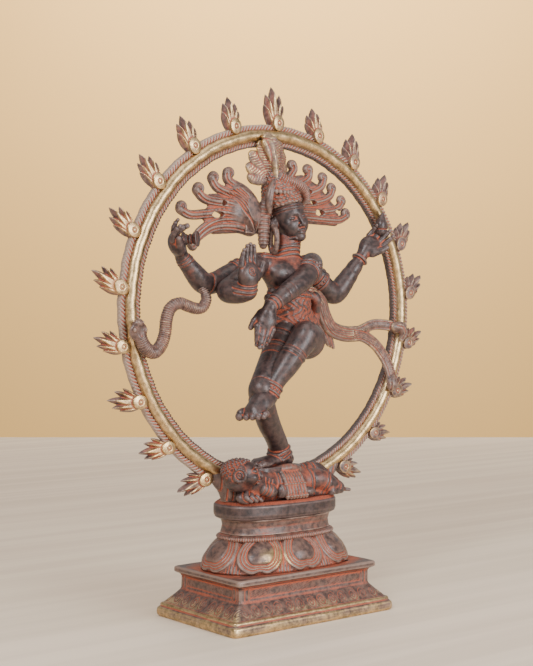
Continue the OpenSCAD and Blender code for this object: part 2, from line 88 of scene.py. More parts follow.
class Clay:
    """A block of clay: shapes are joined to it, cut from it, engraved and embossed."""

    def __init__(self, low, high, voxel=0.4):
        self.low = np.array(low, float)
        self.voxel = voxel
        n = np.ceil((np.array(high, float) - self.low) / voxel).astype(int) + 1
        self.d = np.full(n, 9.0, np.float32)

    def window(self, low, high):
        a = np.clip(np.floor((np.array(low) - self.low) / self.voxel).astype(int), 0, self.d.shape)
        b = np.clip(np.ceil((np.array(high) - self.low) / self.voxel).astype(int) + 1, 0, self.d.shape)
        cut = tuple(slice(i, j) for i, j in zip(a, b))
        grid = [self.low[i] + self.voxel * np.arange(a[i], b[i], dtype=np.float32) for i in range(3)]
        return cut, np.meshgrid(*grid, indexing="ij", sparse=True)

    def join(self, low, high, shape, k=0.0):
        cut, p = self.window(low, high)
        if self.d[cut].size:
            self.d[cut] = soft_min(self.d[cut], shape(*p), k)

    def carve(self, low, high, shape, k=0.0):
        cut, p = self.window(low, high)
        if self.d[cut].size:
            self.d[cut] = -soft_min(-self.d[cut], shape(*p), k)

    def raise_by(self, low, high, shape):
        """Moves the surface out by shape(x, y, z) millimetres, or in where it is negative."""
        cut, p = self.window(low, high)
        if self.d[cut].size:
            self.d[cut] -= shape(*p)

    def taper(self, a, b, ra, rb, k=1.0, squash=None):
        """A round taper from a to b. squash = (axis, factor) flattens it along an axis."""
        a, b = np.array(a, float), np.array(b, float)
        r = max(ra, rb) + k + 1
        self.join(np.minimum(a, b) - r, np.maximum(a, b) + r, taper_shape(a, b, ra, rb, squash), k)

    def chain(self, stations, k=1.0, per=1, squash=None):
        """Round tapers through [x, y, z, radius] stations, on a spline when per > 1."""
        s = spline(stations, per) if per > 1 else np.array(stations, float)
        for p, q in zip(s[:-1], s[1:]):
            self.taper(p[:3], q[:3], p[3], q[3], k, squash)

    def blob(self, c, radii, k=1.0, turn=None):
        """An ellipsoid; turn holds its three axes as rows."""
        c, radii = np.array(c, float), np.array(radii, float)
        m = np.eye(3) if turn is None else turn
        r = radii.max() + k + 1
        self.join(c - r, c + r, ball_shape(c, radii, m), k)

    def ridge(self, path, width, height, per=1):
        """Embosses a round bead (or engraves, where height < 0) along a path on the surface."""
        path = spline(path, per) if per > 1 else np.array(path, float)
        w = width + 0.5
        low, high = path.min(0) - w, path.max(0) + w
        cut, p = self.window(low, high)
        if not self.d[cut].size:
            return
        near = np.full(self.d[cut].shape, 99.0, np.float32)
        for a, b in zip(path[:-1], path[1:]):
            sub, q = self.window(np.minimum(a, b) - w, np.maximum(a, b) + w)
            if self.d[sub].size:
                local = tuple(slice(s.start - c.start, s.stop - c.start) for s, c in zip(sub, cut))
                near[local] = np.minimum(near[local], taper_shape(a, b, 0, 0)(*q))
        self.d[cut] -= height * np.clip(1 - (near / width) ** 2, 0, 1)

    def ring(self, c, axis, radius, width, height, beads=0):
        """A raised or sunk band on the surface, where it crosses the plane at c."""
        c, axis = np.array(c, float), unit(np.array(axis, float))
        r = radius + 1
        side = unit(np.cross(axis, v3(0.3, 0.5, 0.8)))
        other = np.cross(axis, side)

        def band(x, y, z):
            p = (x - c[0], y - c[1], z - c[2])
            h, u, v = (p[0] * a[0] + p[1] * a[1] + p[2] * a[2] for a in (axis, side, other))
            tall = height * np.clip(1 - (h / width) ** 2, 0, 1) ** 0.5
            if beads:
                tall = tall * (0.6 + 0.4 * np.cos(beads * np.arctan2(v, u)))
            return np.where(h * h + u * u + v * v < r * r, tall, 0)
        self.raise_by(c - r, c + r, band)

    def cord(self, path, radius, pitch, height):
        """Rings a long body all along its path."""
        w = radius + 0.5
        near = np.full(self.d.shape, 99.0, np.float32)
        run, start = np.zeros(self.d.shape, np.float32), 0.0
        for a, b in zip(path[:-1], path[1:]):
            cut, (x, y, z) = self.window(np.minimum(a, b) - w, np.maximum(a, b) + w)
            size = np.linalg.norm(b - a)
            far = taper_shape(a, b, 0, 0)(x, y, z)
            along = ((x - a[0]) * (b - a)[0] + (y - a[1]) * (b - a)[1] + (z - a[2]) * (b - a)[2]) / size
            closer = far < near[cut]
            run[cut] = np.where(closer, start + np.clip(along, 0, size), run[cut])
            near[cut] = np.minimum(near[cut], far)
            start += size
        self.d -= np.where(near < radius, height * np.cos(2 * np.pi * run / pitch), 0).astype(np.float32)

    def mesh(self):
        grid = openvdb.FloatGrid(9.0)
        grid.copyFromArray(np.ascontiguousarray(self.d))
        points, quads = grid.convertToQuads()
        return points * self.voxel + self.low, quads


def taper_shape(a, b, ra, rb, squash=None):
    ab = b - a
    l2 = max(float(ab @ ab), 1e-9)

    def shape(x, y, z):
        px, py, pz = x - a[0], y - a[1], z - a[2]
        t = np.clip((px * ab[0] + py * ab[1] + pz * ab[2]) / l2, 0, 1)
        px, py, pz = px - t * ab[0], py - t * ab[1], pz - t * ab[2]
        if squash is not None:
            n, f = squash
            s = (px * n[0] + py * n[1] + pz * n[2]) * (f - 1)
            px, py, pz = px + s * n[0], py + s * n[1], pz + s * n[2]
        return np.sqrt(px * px + py * py + pz * pz) - (ra + t * (rb - ra))
    return shape


def ball_shape(c, radii, m):
    def shape(x, y, z):
        px, py, pz = x - c[0], y - c[1], z - c[2]
        q = [(px * m[i][0] + py * m[i][1] + pz * m[i][2]) / radii[i] for i in range(3)]
        n = np.sqrt(q[0] ** 2 + q[1] ** 2 + q[2] ** 2)
        g = np.sqrt(sum((q[i] / radii[i]) ** 2 for i in range(3)))
        return n * (n - 1) / np.maximum(g, 1e-6)
    return shape


# ---- meshes ----------------------------------------------------------------------


def relief(points, quads, rounds):
    """How far each point stands proud of its smoothed surroundings, in millimetres."""
    edges = np.vstack([quads[:, [0, 1]], quads[:, [1, 2]], quads[:, [2, 3]], quads[:, [3, 0]]])
    both = np.vstack([edges, edges[:, ::-1]])
    n = len(points)
    count = np.maximum(np.bincount(both[:, 0], minlength=n), 1)[:, None]
    d1 = points[quads[:, 2]] - points[quads[:, 0]]
    d2 = points[quads[:, 3]] - points[quads[:, 1]]
    face = np.cross(d1, d2)
    normal = np.stack([sum(np.bincount(quads[:, k], face[:, i], n) for k in range(4))
                       for i in range(3)], 1)
    normal /= np.maximum(np.linalg.norm(normal, axis=1, keepdims=True), 1e-12)
    smooth, found, done = points.copy(), [], 0
    for stop in rounds:
        while done < stop:
            total = np.stack([np.bincount(both[:, 0], smooth[both[:, 1], i], n) for i in range(3)], 1)
            smooth = 0.5 * smooth + 0.5 * total / count
            done += 1
        found.append(((points - smooth) * normal).sum(1))
    return found


def add_piece(name, parts, material, nodes, wear_and_light=0.0, rust=0.3):
    """Makes one Blender piece, in metres, from (points in mm, quads) pairs.

    rub is how far the finish is rubbed through to metal, plus painted light that makes the side
    toward the key lamp brighter, and rust how far red oxide spreads, each a number or a function of the
    points.
    """
    points, quads, base = [], [], 0
    for p, q in parts:
        points.append(p)
        quads.append(np.asarray(q, np.int64) + base)
        base += len(p)
    points, quads = np.vstack(points), np.vstack(quads)
    fine, broad = relief(points, quads, (3, 24))
    me = bpy.data.meshes.new(name)
    me.vertices.add(len(points))
    me.vertices.foreach_set("co", (points * MM).astype(np.float32).ravel())
    me.loops.add(quads.size)
    me.loops.foreach_set("vertex_index", quads.astype(np.int32).ravel())
    me.polygons.add(len(quads))
    me.polygons.foreach_set("loop_start", np.arange(0, quads.size, 4, dtype=np.int32))
    me.polygons.foreach_set("use_smooth", np.ones(len(quads), bool))
    paint = [np.broadcast_to(v(points) if callable(v) else v, len(points)) for v in (wear_and_light, rust)]
    for key, value in (("fine", fine), ("broad", broad), ("wear_and_light", paint[0]), ("rust", paint[1])):
        me.attributes.new(key, "FLOAT", "POINT").data.foreach_set("value", value.astype(np.float32))
    me.update(calc_edges=True)
    me.validate()
    me.materials.append(material)
    ob = bpy.data.objects.new(name, me)
    bpy.context.scene.collection.objects.link(ob)
    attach(ob, "root")
    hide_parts(*nodes)
    return ob


# ---- materials ---------------------------------------------------------------------


class Nodes:
    """Short names for building a node tree."""

    def __init__(self, material):
        material.use_nodes = True
        self.tree = material.node_tree
        self.shader = self.tree.nodes["Principled BSDF"]

    def new(self, kind, **settings):
        node = self.tree.nodes.new(kind)
        for key, value in settings.items():
            setattr(node, key, value)
        return node

    def link(self, source, target):
        self.tree.links.new(source, target)

    def attribute(self, name):
        return self.new("ShaderNodeAttribute", attribute_name=name).outputs["Fac"]

    def math(self, what, a, b=0.0):
        node = self.new("ShaderNodeMath", operation=what)
        for socket, value in zip(node.inputs, (a, b)):
            if isinstance(value, (int, float)):
                socket.default_value = value
            else:
                self.link(value, socket)
        return node.outputs[0]

    def noise(self, scale, detail=4.0, rough=0.6):
        node = self.new("ShaderNodeTexNoise")
        node.inputs["Scale"].default_value = scale
        node.inputs["Detail"].default_value = detail
        node.inputs["Roughness"].default_value = rough
        coords = self.new("ShaderNodeTexCoord")
        self.link(coords.outputs["Object"], node.inputs["Vector"])
        return node.outputs["Fac"]

    def fade(self, value, low, high):
        node = self.new("ShaderNodeMapRange", interpolation_type="SMOOTHSTEP")
        self.link(value, node.inputs["Value"])
        node.inputs["From Min"].default_value = low
        node.inputs["From Max"].default_value = high
        return node.outputs["Result"]

    def mix(self, share, a, b):
        node = self.new("ShaderNodeMix", data_type="RGBA")
        self.link(share, node.inputs["Factor"])
        for socket, value in ((node.inputs["A"], a), (node.inputs["B"], b)):
            if isinstance(value, tuple):
                socket.default_value = (*value, 1)
            else:
                self.link(value, socket)
        return node.outputs["Result"]

    def blend(self, share, a, b):
        node = self.new("ShaderNodeMix", data_type="FLOAT")
        self.link(share, node.inputs["Factor"])
        for socket, value in ((node.inputs["A"], a), (node.inputs["B"], b)):
            if isinstance(value, (int, float)):
                socket.default_value = value
            else:
                self.link(value, socket)
        return node.outputs["Result"]


def antique(name, patina, deep, light, metal, red, gloss):
    """Antiqued brass: red oxide in the hollows, patina between, rubbed metal where painted, which on some
    pieces includes painted light: extra bare brass on the side toward the key lamp.

    deep and light are the darkest and most worn tones of the patina; gloss is its roughness.
    """
    material = bpy.data.materials.new(name)
    n = Nodes(material)
    fine, broad, wear_and_light, rust = (n.attribute(key) for key in ("fine", "broad", "wear_and_light", "rust"))
    large, small, grit = n.noise(70), n.noise(330), n.noise(1900, 3.0, 0.7)
    streak = n.noise(900, 2.0, 0.6)
    level = n.math("ADD", n.math("MULTIPLY", fine, 1.7), n.math("MULTIPLY", broad, 0.6))
    wobble = n.math("MULTIPLY", n.math("SUBTRACT", small, 0.5), 0.12)
    level = n.math("ADD", level, wobble)
    groove_red = n.math("MULTIPLY", n.math("SUBTRACT", 1.0, n.fade(level, -0.30, -0.05)), 0.95)
    cover = n.math("ADD", n.math("MULTIPLY", large, 0.6), n.math("MULTIPLY", small, 0.4))
    cover = n.math("SUBTRACT", n.math("ADD", cover, n.math("MULTIPLY", rust, 0.45)),
                   n.math("MULTIPLY", level, 1.5))
    veil = n.math("MULTIPLY", n.fade(cover, 0.62, 0.92), n.fade(grit, 0.20, 0.62))
    sunk = n.math("MAXIMUM", groove_red, n.math("MULTIPLY", veil, 0.85))
    show = n.math("ADD", n.math("ADD", wear_and_light, n.math("MULTIPLY", level, 1.3)),
                  n.math("MULTIPLY", n.math("SUBTRACT", large, 0.5), 1.1))
    bare = n.fade(show, 0.35, 0.80)
    bare = n.math("MULTIPLY", bare, n.fade(wear_and_light, 0.02, 0.12))
    tone = n.mix(n.fade(small, 0.32, 0.66), deep, patina)
    tone = n.mix(n.fade(n.math("ADD", level, n.math("MULTIPLY", streak, 0.12)), 0.10, 0.42), tone, light)
    metal_tone = n.mix(n.fade(n.math("ADD", n.math("MULTIPLY", small, 0.6),
                                     n.math("MULTIPLY", grit, 0.4)), 0.35, 0.62),
                       tuple(0.42 * c for c in metal), metal)
    tone = n.mix(n.fade(wear_and_light, -1.0, 0.0), tuple(0.6 * c for c in deep), tone)
    skin = n.mix(bare, tone, metal_tone)
    dusty = n.mix(n.fade(grit, 0.3, 0.7), tuple(0.62 * c for c in red), red)
    n.link(n.mix(n.math("MULTIPLY", sunk, n.blend(bare, 1.0, 0.55)), skin, dusty),
           n.shader.inputs["Base Color"])
    rough = n.blend(bare, n.blend(small, gloss - 0.07, gloss + 0.14), 0.34)
    n.link(n.blend(sunk, rough, 0.78), n.shader.inputs["Roughness"])
    solid = n.blend(bare, 0.08, 1.0)
    n.link(n.blend(sunk, solid, 0.05), n.shader.inputs["Metallic"])
    bump = n.new("ShaderNodeBump")
    bump.inputs["Strength"].default_value = 0.45
    bump.inputs["Distance"].default_value = 0.00022
    n.link(n.math("ADD", n.math("MULTIPLY", grit, 0.6), small), bump.inputs["Height"])
    n.link(bump.outputs["Normal"], n.shader.inputs["Normal"])
    return material


RED = (0.52, 0.11, 0.048)
BRASS = (0.70, 0.49, 0.25)
WORN = antique("worn_brass", (0.21, 0.13, 0.11), (0.075, 0.046, 0.044), (0.36, 0.26, 0.20), BRASS, RED,
               0.38)
BROWN = antique("brown_patina", (0.15, 0.083, 0.064), (0.050, 0.030, 0.027), (0.28, 0.185, 0.145), BRASS,
                RED, 0.34)
DARK = antique("dark_patina", (0.072, 0.042, 0.038), (0.023, 0.0155, 0.016), (0.135, 0.090, 0.082), BRASS,
               RED, 0.33)


# ---- base: courses swept round the pedestal ------------------------------------------


def node_box(name):
    low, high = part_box(name)
    return np.array(low) / MM, np.array(high) / MM


def outline(power, a, b, spacing):
    """A superellipse as unit corners (cx, cy), with the distance along it in mm at size a, b."""
    f = np.linspace(0, 2 * np.pi, 40001)
    cx = np.sign(np.cos(f)) * np.abs(np.cos(f)) ** (2 / power)
    cy = np.sign(np.sin(f)) * np.abs(np.sin(f)) ** (2 / power)
    run = np.concatenate([[0], np.cumsum(np.hypot(np.diff(a * cx), np.diff(b * cy)))])
    s = np.linspace(0, run[-1], int(run[-1] / spacing), endpoint=False)
    return np.interp(s, run, cx), np.interp(s, run, cy), s, run[-1]


def course(plan, rows, bump=None, loop=False):
    """Sweeps rows of (half width, half depth, height) round a plan; bump(s, z, x, y) raises it."""
    cx, cy, s, total = plan
    rows = np.array(rows, float)
    p = np.stack([rows[None, :, 0] * cx[:, None], rows[None, :, 1] * cy[:, None],
                  np.broadcast_to(rows[:, 2], (len(s), len(rows)))], -1)
    if bump is not None:
        along = np.roll(p, -1, 0) - np.roll(p, 1, 0)
        up = np.gradient(p, axis=1)
        normal = np.cross(along, up)
        normal /= np.maximum(np.linalg.norm(normal, axis=-1, keepdims=True), 1e-9)
        p = p + normal * bump(s[:, None], p[..., 2], p[..., 0], p[..., 1])[..., None]
    n, m = len(s), len(rows)
    index = np.arange(n * m).reshape(n, m)
    if loop:
        index = np.concatenate([index, index[:, :1]], 1)
    ahead = np.roll(index, -1, 0)
    quads = np.stack([index[:, :-1], ahead[:, :-1], ahead[:, 1:], index[:, 1:]], -1).reshape(-1, 4)
    return p.reshape(-1, 3), quads


def fine_rows(points, gap):
    """Resamples a profile of (half width, half depth, height) at an even gap."""
    p = np.array(points, float)
    run = np.concatenate([[0], np.cumsum(np.linalg.norm(np.diff(p, axis=0), axis=1))])
    t = np.linspace(0, run[-1], int(run[-1] / gap) + 2)
    return np.stack([np.interp(t, run, p[:, i]) for i in range(3)], 1)


def lump(x, w):
    return np.clip(1 - (x / w) ** 2, 0, 1)


def uneven(x, y, z, size, height):
    """Slow hand-cast unevenness."""
    return height * (np.sin(x / size + 1.3 * np.sin(y / size)) * np.sin(z / size * 1.7 + 0.6)
                     + 0.5 * np.sin(2.3 * x / size - 1.9 * z / size + y / size))


def scroll(s, z, pitch, middle, reach):
    """Running scrolls cut along a face: spirals that alternate up and down."""
    k = np.floor(s / pitch)
    flip = np.where(k % 2 == 0, 1.0, -1.0)
    u = (s - (k + 0.5) * pitch) * flip
    w = (z - middle) * flip
    r = np.hypot(u, w)
    turn = np.arctan2(w, u) / (2 * np.pi)
    arm = np.abs(((r / reach * 2.2 - turn) % 1.0) - 0.5) * reach / 2.2
    return np.where(r < reach, np.clip(1 - arm / 0.55, 0, 1), 0)


def build_plinth():
    high = node_box("plinth_shell")[1]
    a, b, h = high[0], high[1], high[2]
    dado_a, dado_b = a - 12, b - 10.5
    inner_a, inner_b = dado_a - 4, dado_b - 4
    profile = [(a - 1.2, b - 1.2, 0), (a - 0.3, b - 0.3, 1.2), (a - 0.1, b - 0.1, 3),
               (a - 0.4, b - 0.4, 5.2),
               (a - 1.6, b - 1.6, 6.4), (a - 1.9, b - 1.9, 6.9), (a - 1.7, b - 1.7, 7.5),
               (a - 2.3, b - 2.3, 8.4),
               (a - 3.4, b - 3.3, 8.7), (a - 5.6, b - 5.2, 11), (a - 8.4, b - 7.6, 13.6),
               (a - 10.6, b - 9.4, 15.8),
               (a - 11.6, b - 10.2, 17), (dado_a, dado_b, 18), (dado_a, dado_b, 25.0),
               (dado_a + 0.8, dado_b + 0.8, 26.4),
               (dado_a + 2.6, dado_b + 2.6, 27.3), (dado_a + 3.4, dado_b + 3.4, 27.8),
               (dado_a + 3.3, dado_b + 3.3, h - 0.7),
               (dado_a + 2.6, dado_b + 2.6, h), (dado_a - 10, dado_b - 8, h),
               (dado_a - 10, dado_b - 8, h - 4),
               (inner_a, inner_b, h - 5), (inner_a, inner_b, 7), (a - 5, b - 5, 6), (a - 5, b - 5, 0)]

    def cut(s, z, x, y):
        outer = np.abs(x) / a > 0
        side = np.abs(y) / (dado_b + 6) < np.abs(x) / (dado_a + 6)
        along = np.where(side, y, x)
        half = np.where(side, dado_b, dado_a)
        scrolls = -0.22 * scroll(along + 200, z, 8.5, 12.4, 3.6) * step(9.2, 9.8, z) * step(17.0, 16.2, z)
        edge = half - np.abs(along)
        strips = sum(-0.5 * lump(edge - e, 0.4) for e in (2.2, 4.0, 7.0)) * 0.8 * step(18, 18.6,
                z) * step(26, 25.2, z)
        panel = -0.45 * step(7.2, 8.0, edge) * step(18.4, 19.2, z) * step(25.6, 24.8, z)
        chased = 0.10 * np.sin(z * 5.5 + 1.2 * np.sin(along / 5)) * np.sin(along * 1.7 + z) * step(8, 9,
                edge) * step(19, 20, z) * step(25, 24, z)
        dents = uneven(x, y, z, 7.0, 0.10)
        wall = (np.abs(x) > inner_a + 1) | (np.abs(y) > inner_b + 1)
        return np.where(outer & wall & (z > 0.6), scrolls + strips + panel + chased + dents, 0)

    plan = outline(34, a, b, 0.62)

    def wear_and_light(q):
        # Painted light: near gives the half toward the key lamp (x < 0) a little more bare brass.
        z, near = q[:, 2], (q[:, 0] < 0) * 0.08
        foot = 0.36 * step(9.5, 7.5, z) + 0.24 * lump(z - 7.4, 0.9) + 0.42 * step(17, 8.5, z) * step(7.0,
                8.5, z)
        return foot + near - 0.35 * lump(z - 8.0, 0.6) - 0.3 * step(24, 26, z)

    def rust(q):
        x, y, z = np.abs(q[:, 0]), np.abs(q[:, 1]), q[:, 2]
        near_lotus = step(1.35, 1.0, np.hypot(x / 54, y / 32)) * step(30, 31, z)
        return 0.12 + 0.75 * near_lotus + 0.20 * lump(z - 17.5, 1.5) + 0.25 * lump(z - 26.5, 1.2)
    add_piece("Plinth", [course(plan, fine_rows(profile, 0.55), cut, loop=True)], BROWN,
              ["plinth_shell"], wear_and_light, rust)


PETALS = 8


def build_lotus():
    low, high = node_box("lotus_pedestal")
    z0, z1 = low[2], high[2]
    a0, b0 = high[0] - 1.5, high[1] - 1.2
    band_high = node_box("bead_moulding")[1]
    a1, b1 = band_high[0] - 1.5, band_high[1] - 1.5
    bell = [(a1 + (a0 - a1) * f, b1 + (b0 - b1) * f, z0 + (z1 - z0) * t)
            for t, f in ((0, 0.95), (0.06, 1.0), (0.2, 0.93), (0.4, 0.78), (0.6, 0.58), (0.8, 0.32),
                         (1, 0.0))]
    plan = outline(2.5, (a0 + a1) / 2, (b0 + b1) / 2, 0.42)
    total = plan[3]
    pitch = total / PETALS

    def petal(s, z, x, y):
        u = (s + pitch / 2) % pitch - pitch / 2
        t = (z - z0) / (z1 - z0)
        dip = 0.10 * np.exp(-(u / 3.2) ** 2) * step(0.55, 0.1, t)
        r = np.hypot(u / (pitch * 0.49), (t - 0.66 - dip) / 0.66)
        boss = 1.5 * lump(r, 0.56) ** 0.8
        lines = sum(-0.50 * lump(r - c, 0.036) for c in (0.60, 0.72, 0.84))
        body = 1.1 * lump(r, 1.08) ** 0.45
        gap_u = np.abs(np.abs(u) - pitch / 2)
        wedge = step(0.98, 1.06, r) * (sum(-0.35 * lump(gap_u - c, 0.35) for c in (0.0, 2.0, 3.8)))
        return body + boss + np.where(r < 1.02, lines, 0) + wedge - 0.7 * step(0.95, 1.03, r) + uneven(x,
                y, z, 5, 0.10)

    def wear_and_light(q):
        angle = np.arctan2(q[:, 1] / b0, q[:, 0] / a0)
        golden = np.exp(-((angle + 2.05) / 0.30) ** 2) + 0.45 * np.exp(
                -((angle + 0.75) / 0.3) ** 2) + 0.5 * np.exp(-((angle - 1.2) / 0.5) ** 2)
        return 0.55 * golden * lump((q[:, 2] - z0) / (z1 - z0) - 0.55, 0.5)
    skin = course(plan, fine_rows(bell, 0.3), petal)
    add_piece("Lotus_petals", [skin], BROWN, ["lotus_pedestal"], wear_and_light,
              lambda q: 0.30 + 0.5 * step(z0 + 3, z0, q[:, 2]))
    w0, w1 = node_box("bead_moulding")
    a, b = w1[0], w1[1]
    zb, zt = w0[2], w1[2]
    round_band = [(a - 6, b - 6, zb), (a - 1.4, b - 1.4, zb), (a - 0.5, b - 0.5, zb + 0.6),
                  (a - 0.1, b - 0.1, zb + 1.6),
                  (a - 0.7, b - 0.7, zb + 2.7), (a - 1.6, b - 1.6, zb + 3.1),
                  (a - 2.2, b - 2.2, zb + 3.5), (a - 3.2, b - 3.2, zt),
                  (a - 8, b - 8, zt)]
    beads = outline(2.6, a, b, 0.3)
    count = round(beads[3] / 1.55)
    add_piece("Bead_band", [course(beads, fine_rows(round_band, 0.3), lambda s, z, x, y:
              0.28 * np.cos(2 * np.pi * count * s / beads[3]) * lump(z - zb - 1.5, 1.5))],
              BROWN, ["bead_moulding"], 0.0, 0.45)
    w0, w1 = node_box("waist_moulding")
    a, b, zb, zt = w1[0], w1[1], w0[2], w1[2]
    waist = [(a - 5, b - 5, zb), (a + 0.4, b + 0.4, zb), (a - 0.1, b - 0.1, zb + 1.4),
             (a - 0.6, b - 0.6, zb + 4.5),
             (a, b, zt - 1.5), (a + 0.8, b + 0.8, zt), (a - 6, b - 6, zt)]
    add_piece("Waist", [course(outline(2.7, a, b, 0.6), fine_rows(waist, 0.5),
              lambda s, z, x, y: uneven(x, y, z, 4, 0.10) + 0.05 * np.sin(7 * z + np.sin(s)))], BROWN,
              ["waist_moulding"], 0.0, lambda q: 0.12 + 0.6 * step(zb + 2, zb, q[:, 2]))
    w0, w1 = node_box("top_slab")
    a, b, zb, zt = w1[0], w1[1], w0[2], w1[2]
    slab = [(a - 7, b - 7, zb), (a - 2.4, b - 2.4, zb), (a - 0.8, b - 0.8, zb + 0.9),
            (a - 0.1, b - 0.1, zb + 3),
            (a - 0.2, b - 0.2, zt - 2.6), (a - 0.9, b - 0.9, zt - 1.7), (a - 3.0, b - 3.0, zt),
            (a - 3.8, b - 3.8, zt - 0.25),
            (a - 9, b - 9, zt - 0.3), (0.9, 0.5, zt - 0.3)]
    add_piece("Top_slab", [course(outline(2.9, a, b, 0.6), fine_rows(slab, 0.55),
              lambda s, z, x, y: uneven(x, y, z, 5, 0.12))], DARK, ["top_slab"], 0.0,
              lambda q: 0.05 + 1.6 * step(zt - 2.3, zt - 1.3, q[:, 2]))


def turned(name, node, sides, material):
    """A rod, washer or nut remade with eased edges, between its CAD ends."""
    low, high = node_box(node)
    c, r = (low + high) / 2, (high[1] - low[1]) / 2
    h = high[2] - low[2]
    bore = 0.0 if node == "tie_rod" else 3.25
    ease = 0.35
    rows = [(bore + 0.01, 0), (r - ease, 0), (r, ease), (r, h - ease), (r - ease, h), (bore + 0.01, h)]
    f = np.arange(sides) * 2 * np.pi / sides
    if node == "tie_rod":
        threads = [(r - 0.35 * (k % 2), 0.6 + 0.4 * k) for k in range(30)]
        rows = rows[:2] + threads + rows[3:]
    shape = np.array([[(c[0] + q * math.cos(t), c[1] + q * math.sin(t), low[2] + z) for q, z in rows]
                      for t in f])
    n, m = shape.shape[:2]
    index = np.arange(n * m).reshape(n, m)
    index = np.concatenate([index, index[:, :1]], 1) if bore else index
    ahead = np.roll(index, -1, 0)
    quads = np.stack([index[:, :-1], ahead[:, :-1], ahead[:, 1:], index[:, 1:]], -1).reshape(-1, 4)
    add_piece(name, [(shape.reshape(-1, 3), quads)], material, [node])


# ---- arch and flames -----------------------------------------------------------------

ARCH_Z = 190.0
ARCH_R = 108.5
BAND = 7.0
ARCH_HALF = 166.0
FLAMES = 19
PITCH = 16.8


def arch_section():
    """(offset from the middle radius, y, rope weight) round the band, rib to the front."""
    out = [(-BAND, 2.4, 0), (-BAND + 0.5, 3.0, 0), (-3, 3.0, 0), (0, 2.9, 0), (3, 3.0, 0),
           (BAND - 0.5, 3.0, 0), (BAND, 2.4, 0)]
    rope_c, rope_r = BAND - 1.75, 1.75
    for t in np.linspace(20, 165, 8):
        out.append((rope_c + rope_r * math.cos(math.radians(t)), -0.2 - 0.85 * math.sin(math.radians(t)),
                    1))
    rib_r = 3.7
    out.append((rib_r + 0.1, 0.0, 0))
    for t in np.linspace(8, 172, 13):
        out.append((rib_r * math.cos(math.radians(t)), -0.7 - rib_r * math.sin(math.radians(t)), 0))
    out.append((-rib_r - 0.1, 0.0, 0))
    for t in np.linspace(15, 160, 8):
        out.append((-rope_c + rope_r * math.cos(math.radians(t)), -0.2 - 0.85 * math.sin(math.radians(t)),
                    1))
    return np.array(out)


def build_arch():
    section = arch_section()
    teeth = round(2 * math.radians(ARCH_HALF) * ARCH_R / 2.3)
    per = 8
    n = teeth * per + 1
    angle = np.radians(np.linspace(-ARCH_HALF, ARCH_HALF, n))
    r = np.broadcast_to(ARCH_R + section[:, 0], (n, len(section))).copy()
    y = np.broadcast_to(section[:, 1], r.shape).copy()
    twist = np.arange(n)[:, None] / per - section[None, :, 0] / 2.6
    cord = np.cos(2 * np.pi * twist) * section[None, :, 2]
    y -= 0.55 * np.sign(cord) * np.abs(cord) ** 0.7
    wave = np.sin(angle * 23)[:, None] + np.sin(angle * 61 + 1)[:, None]
    y += 0.05 * wave
    r += 0.10 * wave
    back = section[None, :, 1] > 2.0
    y += back * 0.22 * np.sin(angle[:, None] * 97 + 2
                              * np.sin(section[None, :, 0] * 0.9)) * np.sin(section[None, :, 0] * 0.8
                                      + 31 * angle[:, None])
    p = np.stack([r * np.sin(angle)[:, None], y, ARCH_Z + r * np.cos(angle)[:, None]], -1)
    m = len(section)
    index = np.arange(n * m).reshape(n, m)
    a, b = index[:-1], index[1:]
    quads = np.stack([a, np.roll(a, -1, 1), np.roll(b, -1, 1), b], -1).reshape(-1, 4)
    on_rib = np.abs(section[:, 0]) < 3.75
    front = section[:, 1] < 0.1
    # Painted light: side rubs the rib brighter on the half toward the key lamp (x < 0) and darker on the
    # far half.
    side = 0.12 * -np.sin(angle)[:, None]
    # inner: the inner face of the band is set darker, toward the deep tone.
    inner = section[:, 0] < -BAND + 1.2
    wear_and_light = np.where(on_rib & front, 0.42 + side, np.where(inner, -0.8, 0.0) + 0.0 * side)
    rust = np.where(on_rib & front, 0.02, 0.50) + 0 * side
    add_piece("Arch", [(p.reshape(-1, 3), quads)], WORN, ["arch"],
              lambda q: wear_and_light.ravel(), lambda q: rust.ravel())
    clay = Clay((-52, -8, 70), (52, 6, 96), 0.5)
    for s in (-1, 1):
        clay.chain([(s * 49, 0.3, 93, 3.2), (s * 44, 0.4, 87, 4.0), (s * 38, 0.5, 81, 4.6),
                    (s * 34, 0.6, 75, 5.0)], 3, per=3)
        clay.chain([(s * 27, 0.6, 85, 3.6), (s * 30, 0.6, 79, 4.4), (s * 32, 0.6, 75, 4.6)], 3, per=3)
    clay.join((-52, -8, 70), (52, 6, 96), lambda x, y, z: np.maximum(
        np.maximum(np.abs(np.abs(x) - 33) - 7.5, np.abs(y - 0.8) - 2.6), np.abs(z - 76) - 3.4), 2.0)
    clay.carve((-52, -8, 60), (52, 6, 73.1), lambda x, y, z: z - 72.8 + 0 * x + 0 * y)
    for s in (-1, 1):
        for x0, z0, x1, z1 in ((31, 88, 33, 74), (36, 88, 37, 74), (41, 90, 40, 74), (46, 93, 43, 76)):
            groove(clay, [(s * x0, z0), (s * (x0 + x1) / 2 - 0.6, (z0 + z1) / 2), (s * x1, z1)], 0.7, -0.6)
    add_piece("Arch_feet", [clay.mesh()], WORN, ["arch"], -0.5, 0.50)


def flame_lean(i):
    a = abs(i) * PITCH
    return 0.0 if i == 0 else 9 - 0.75 * a if i < 0 else 0.85 * a - 28


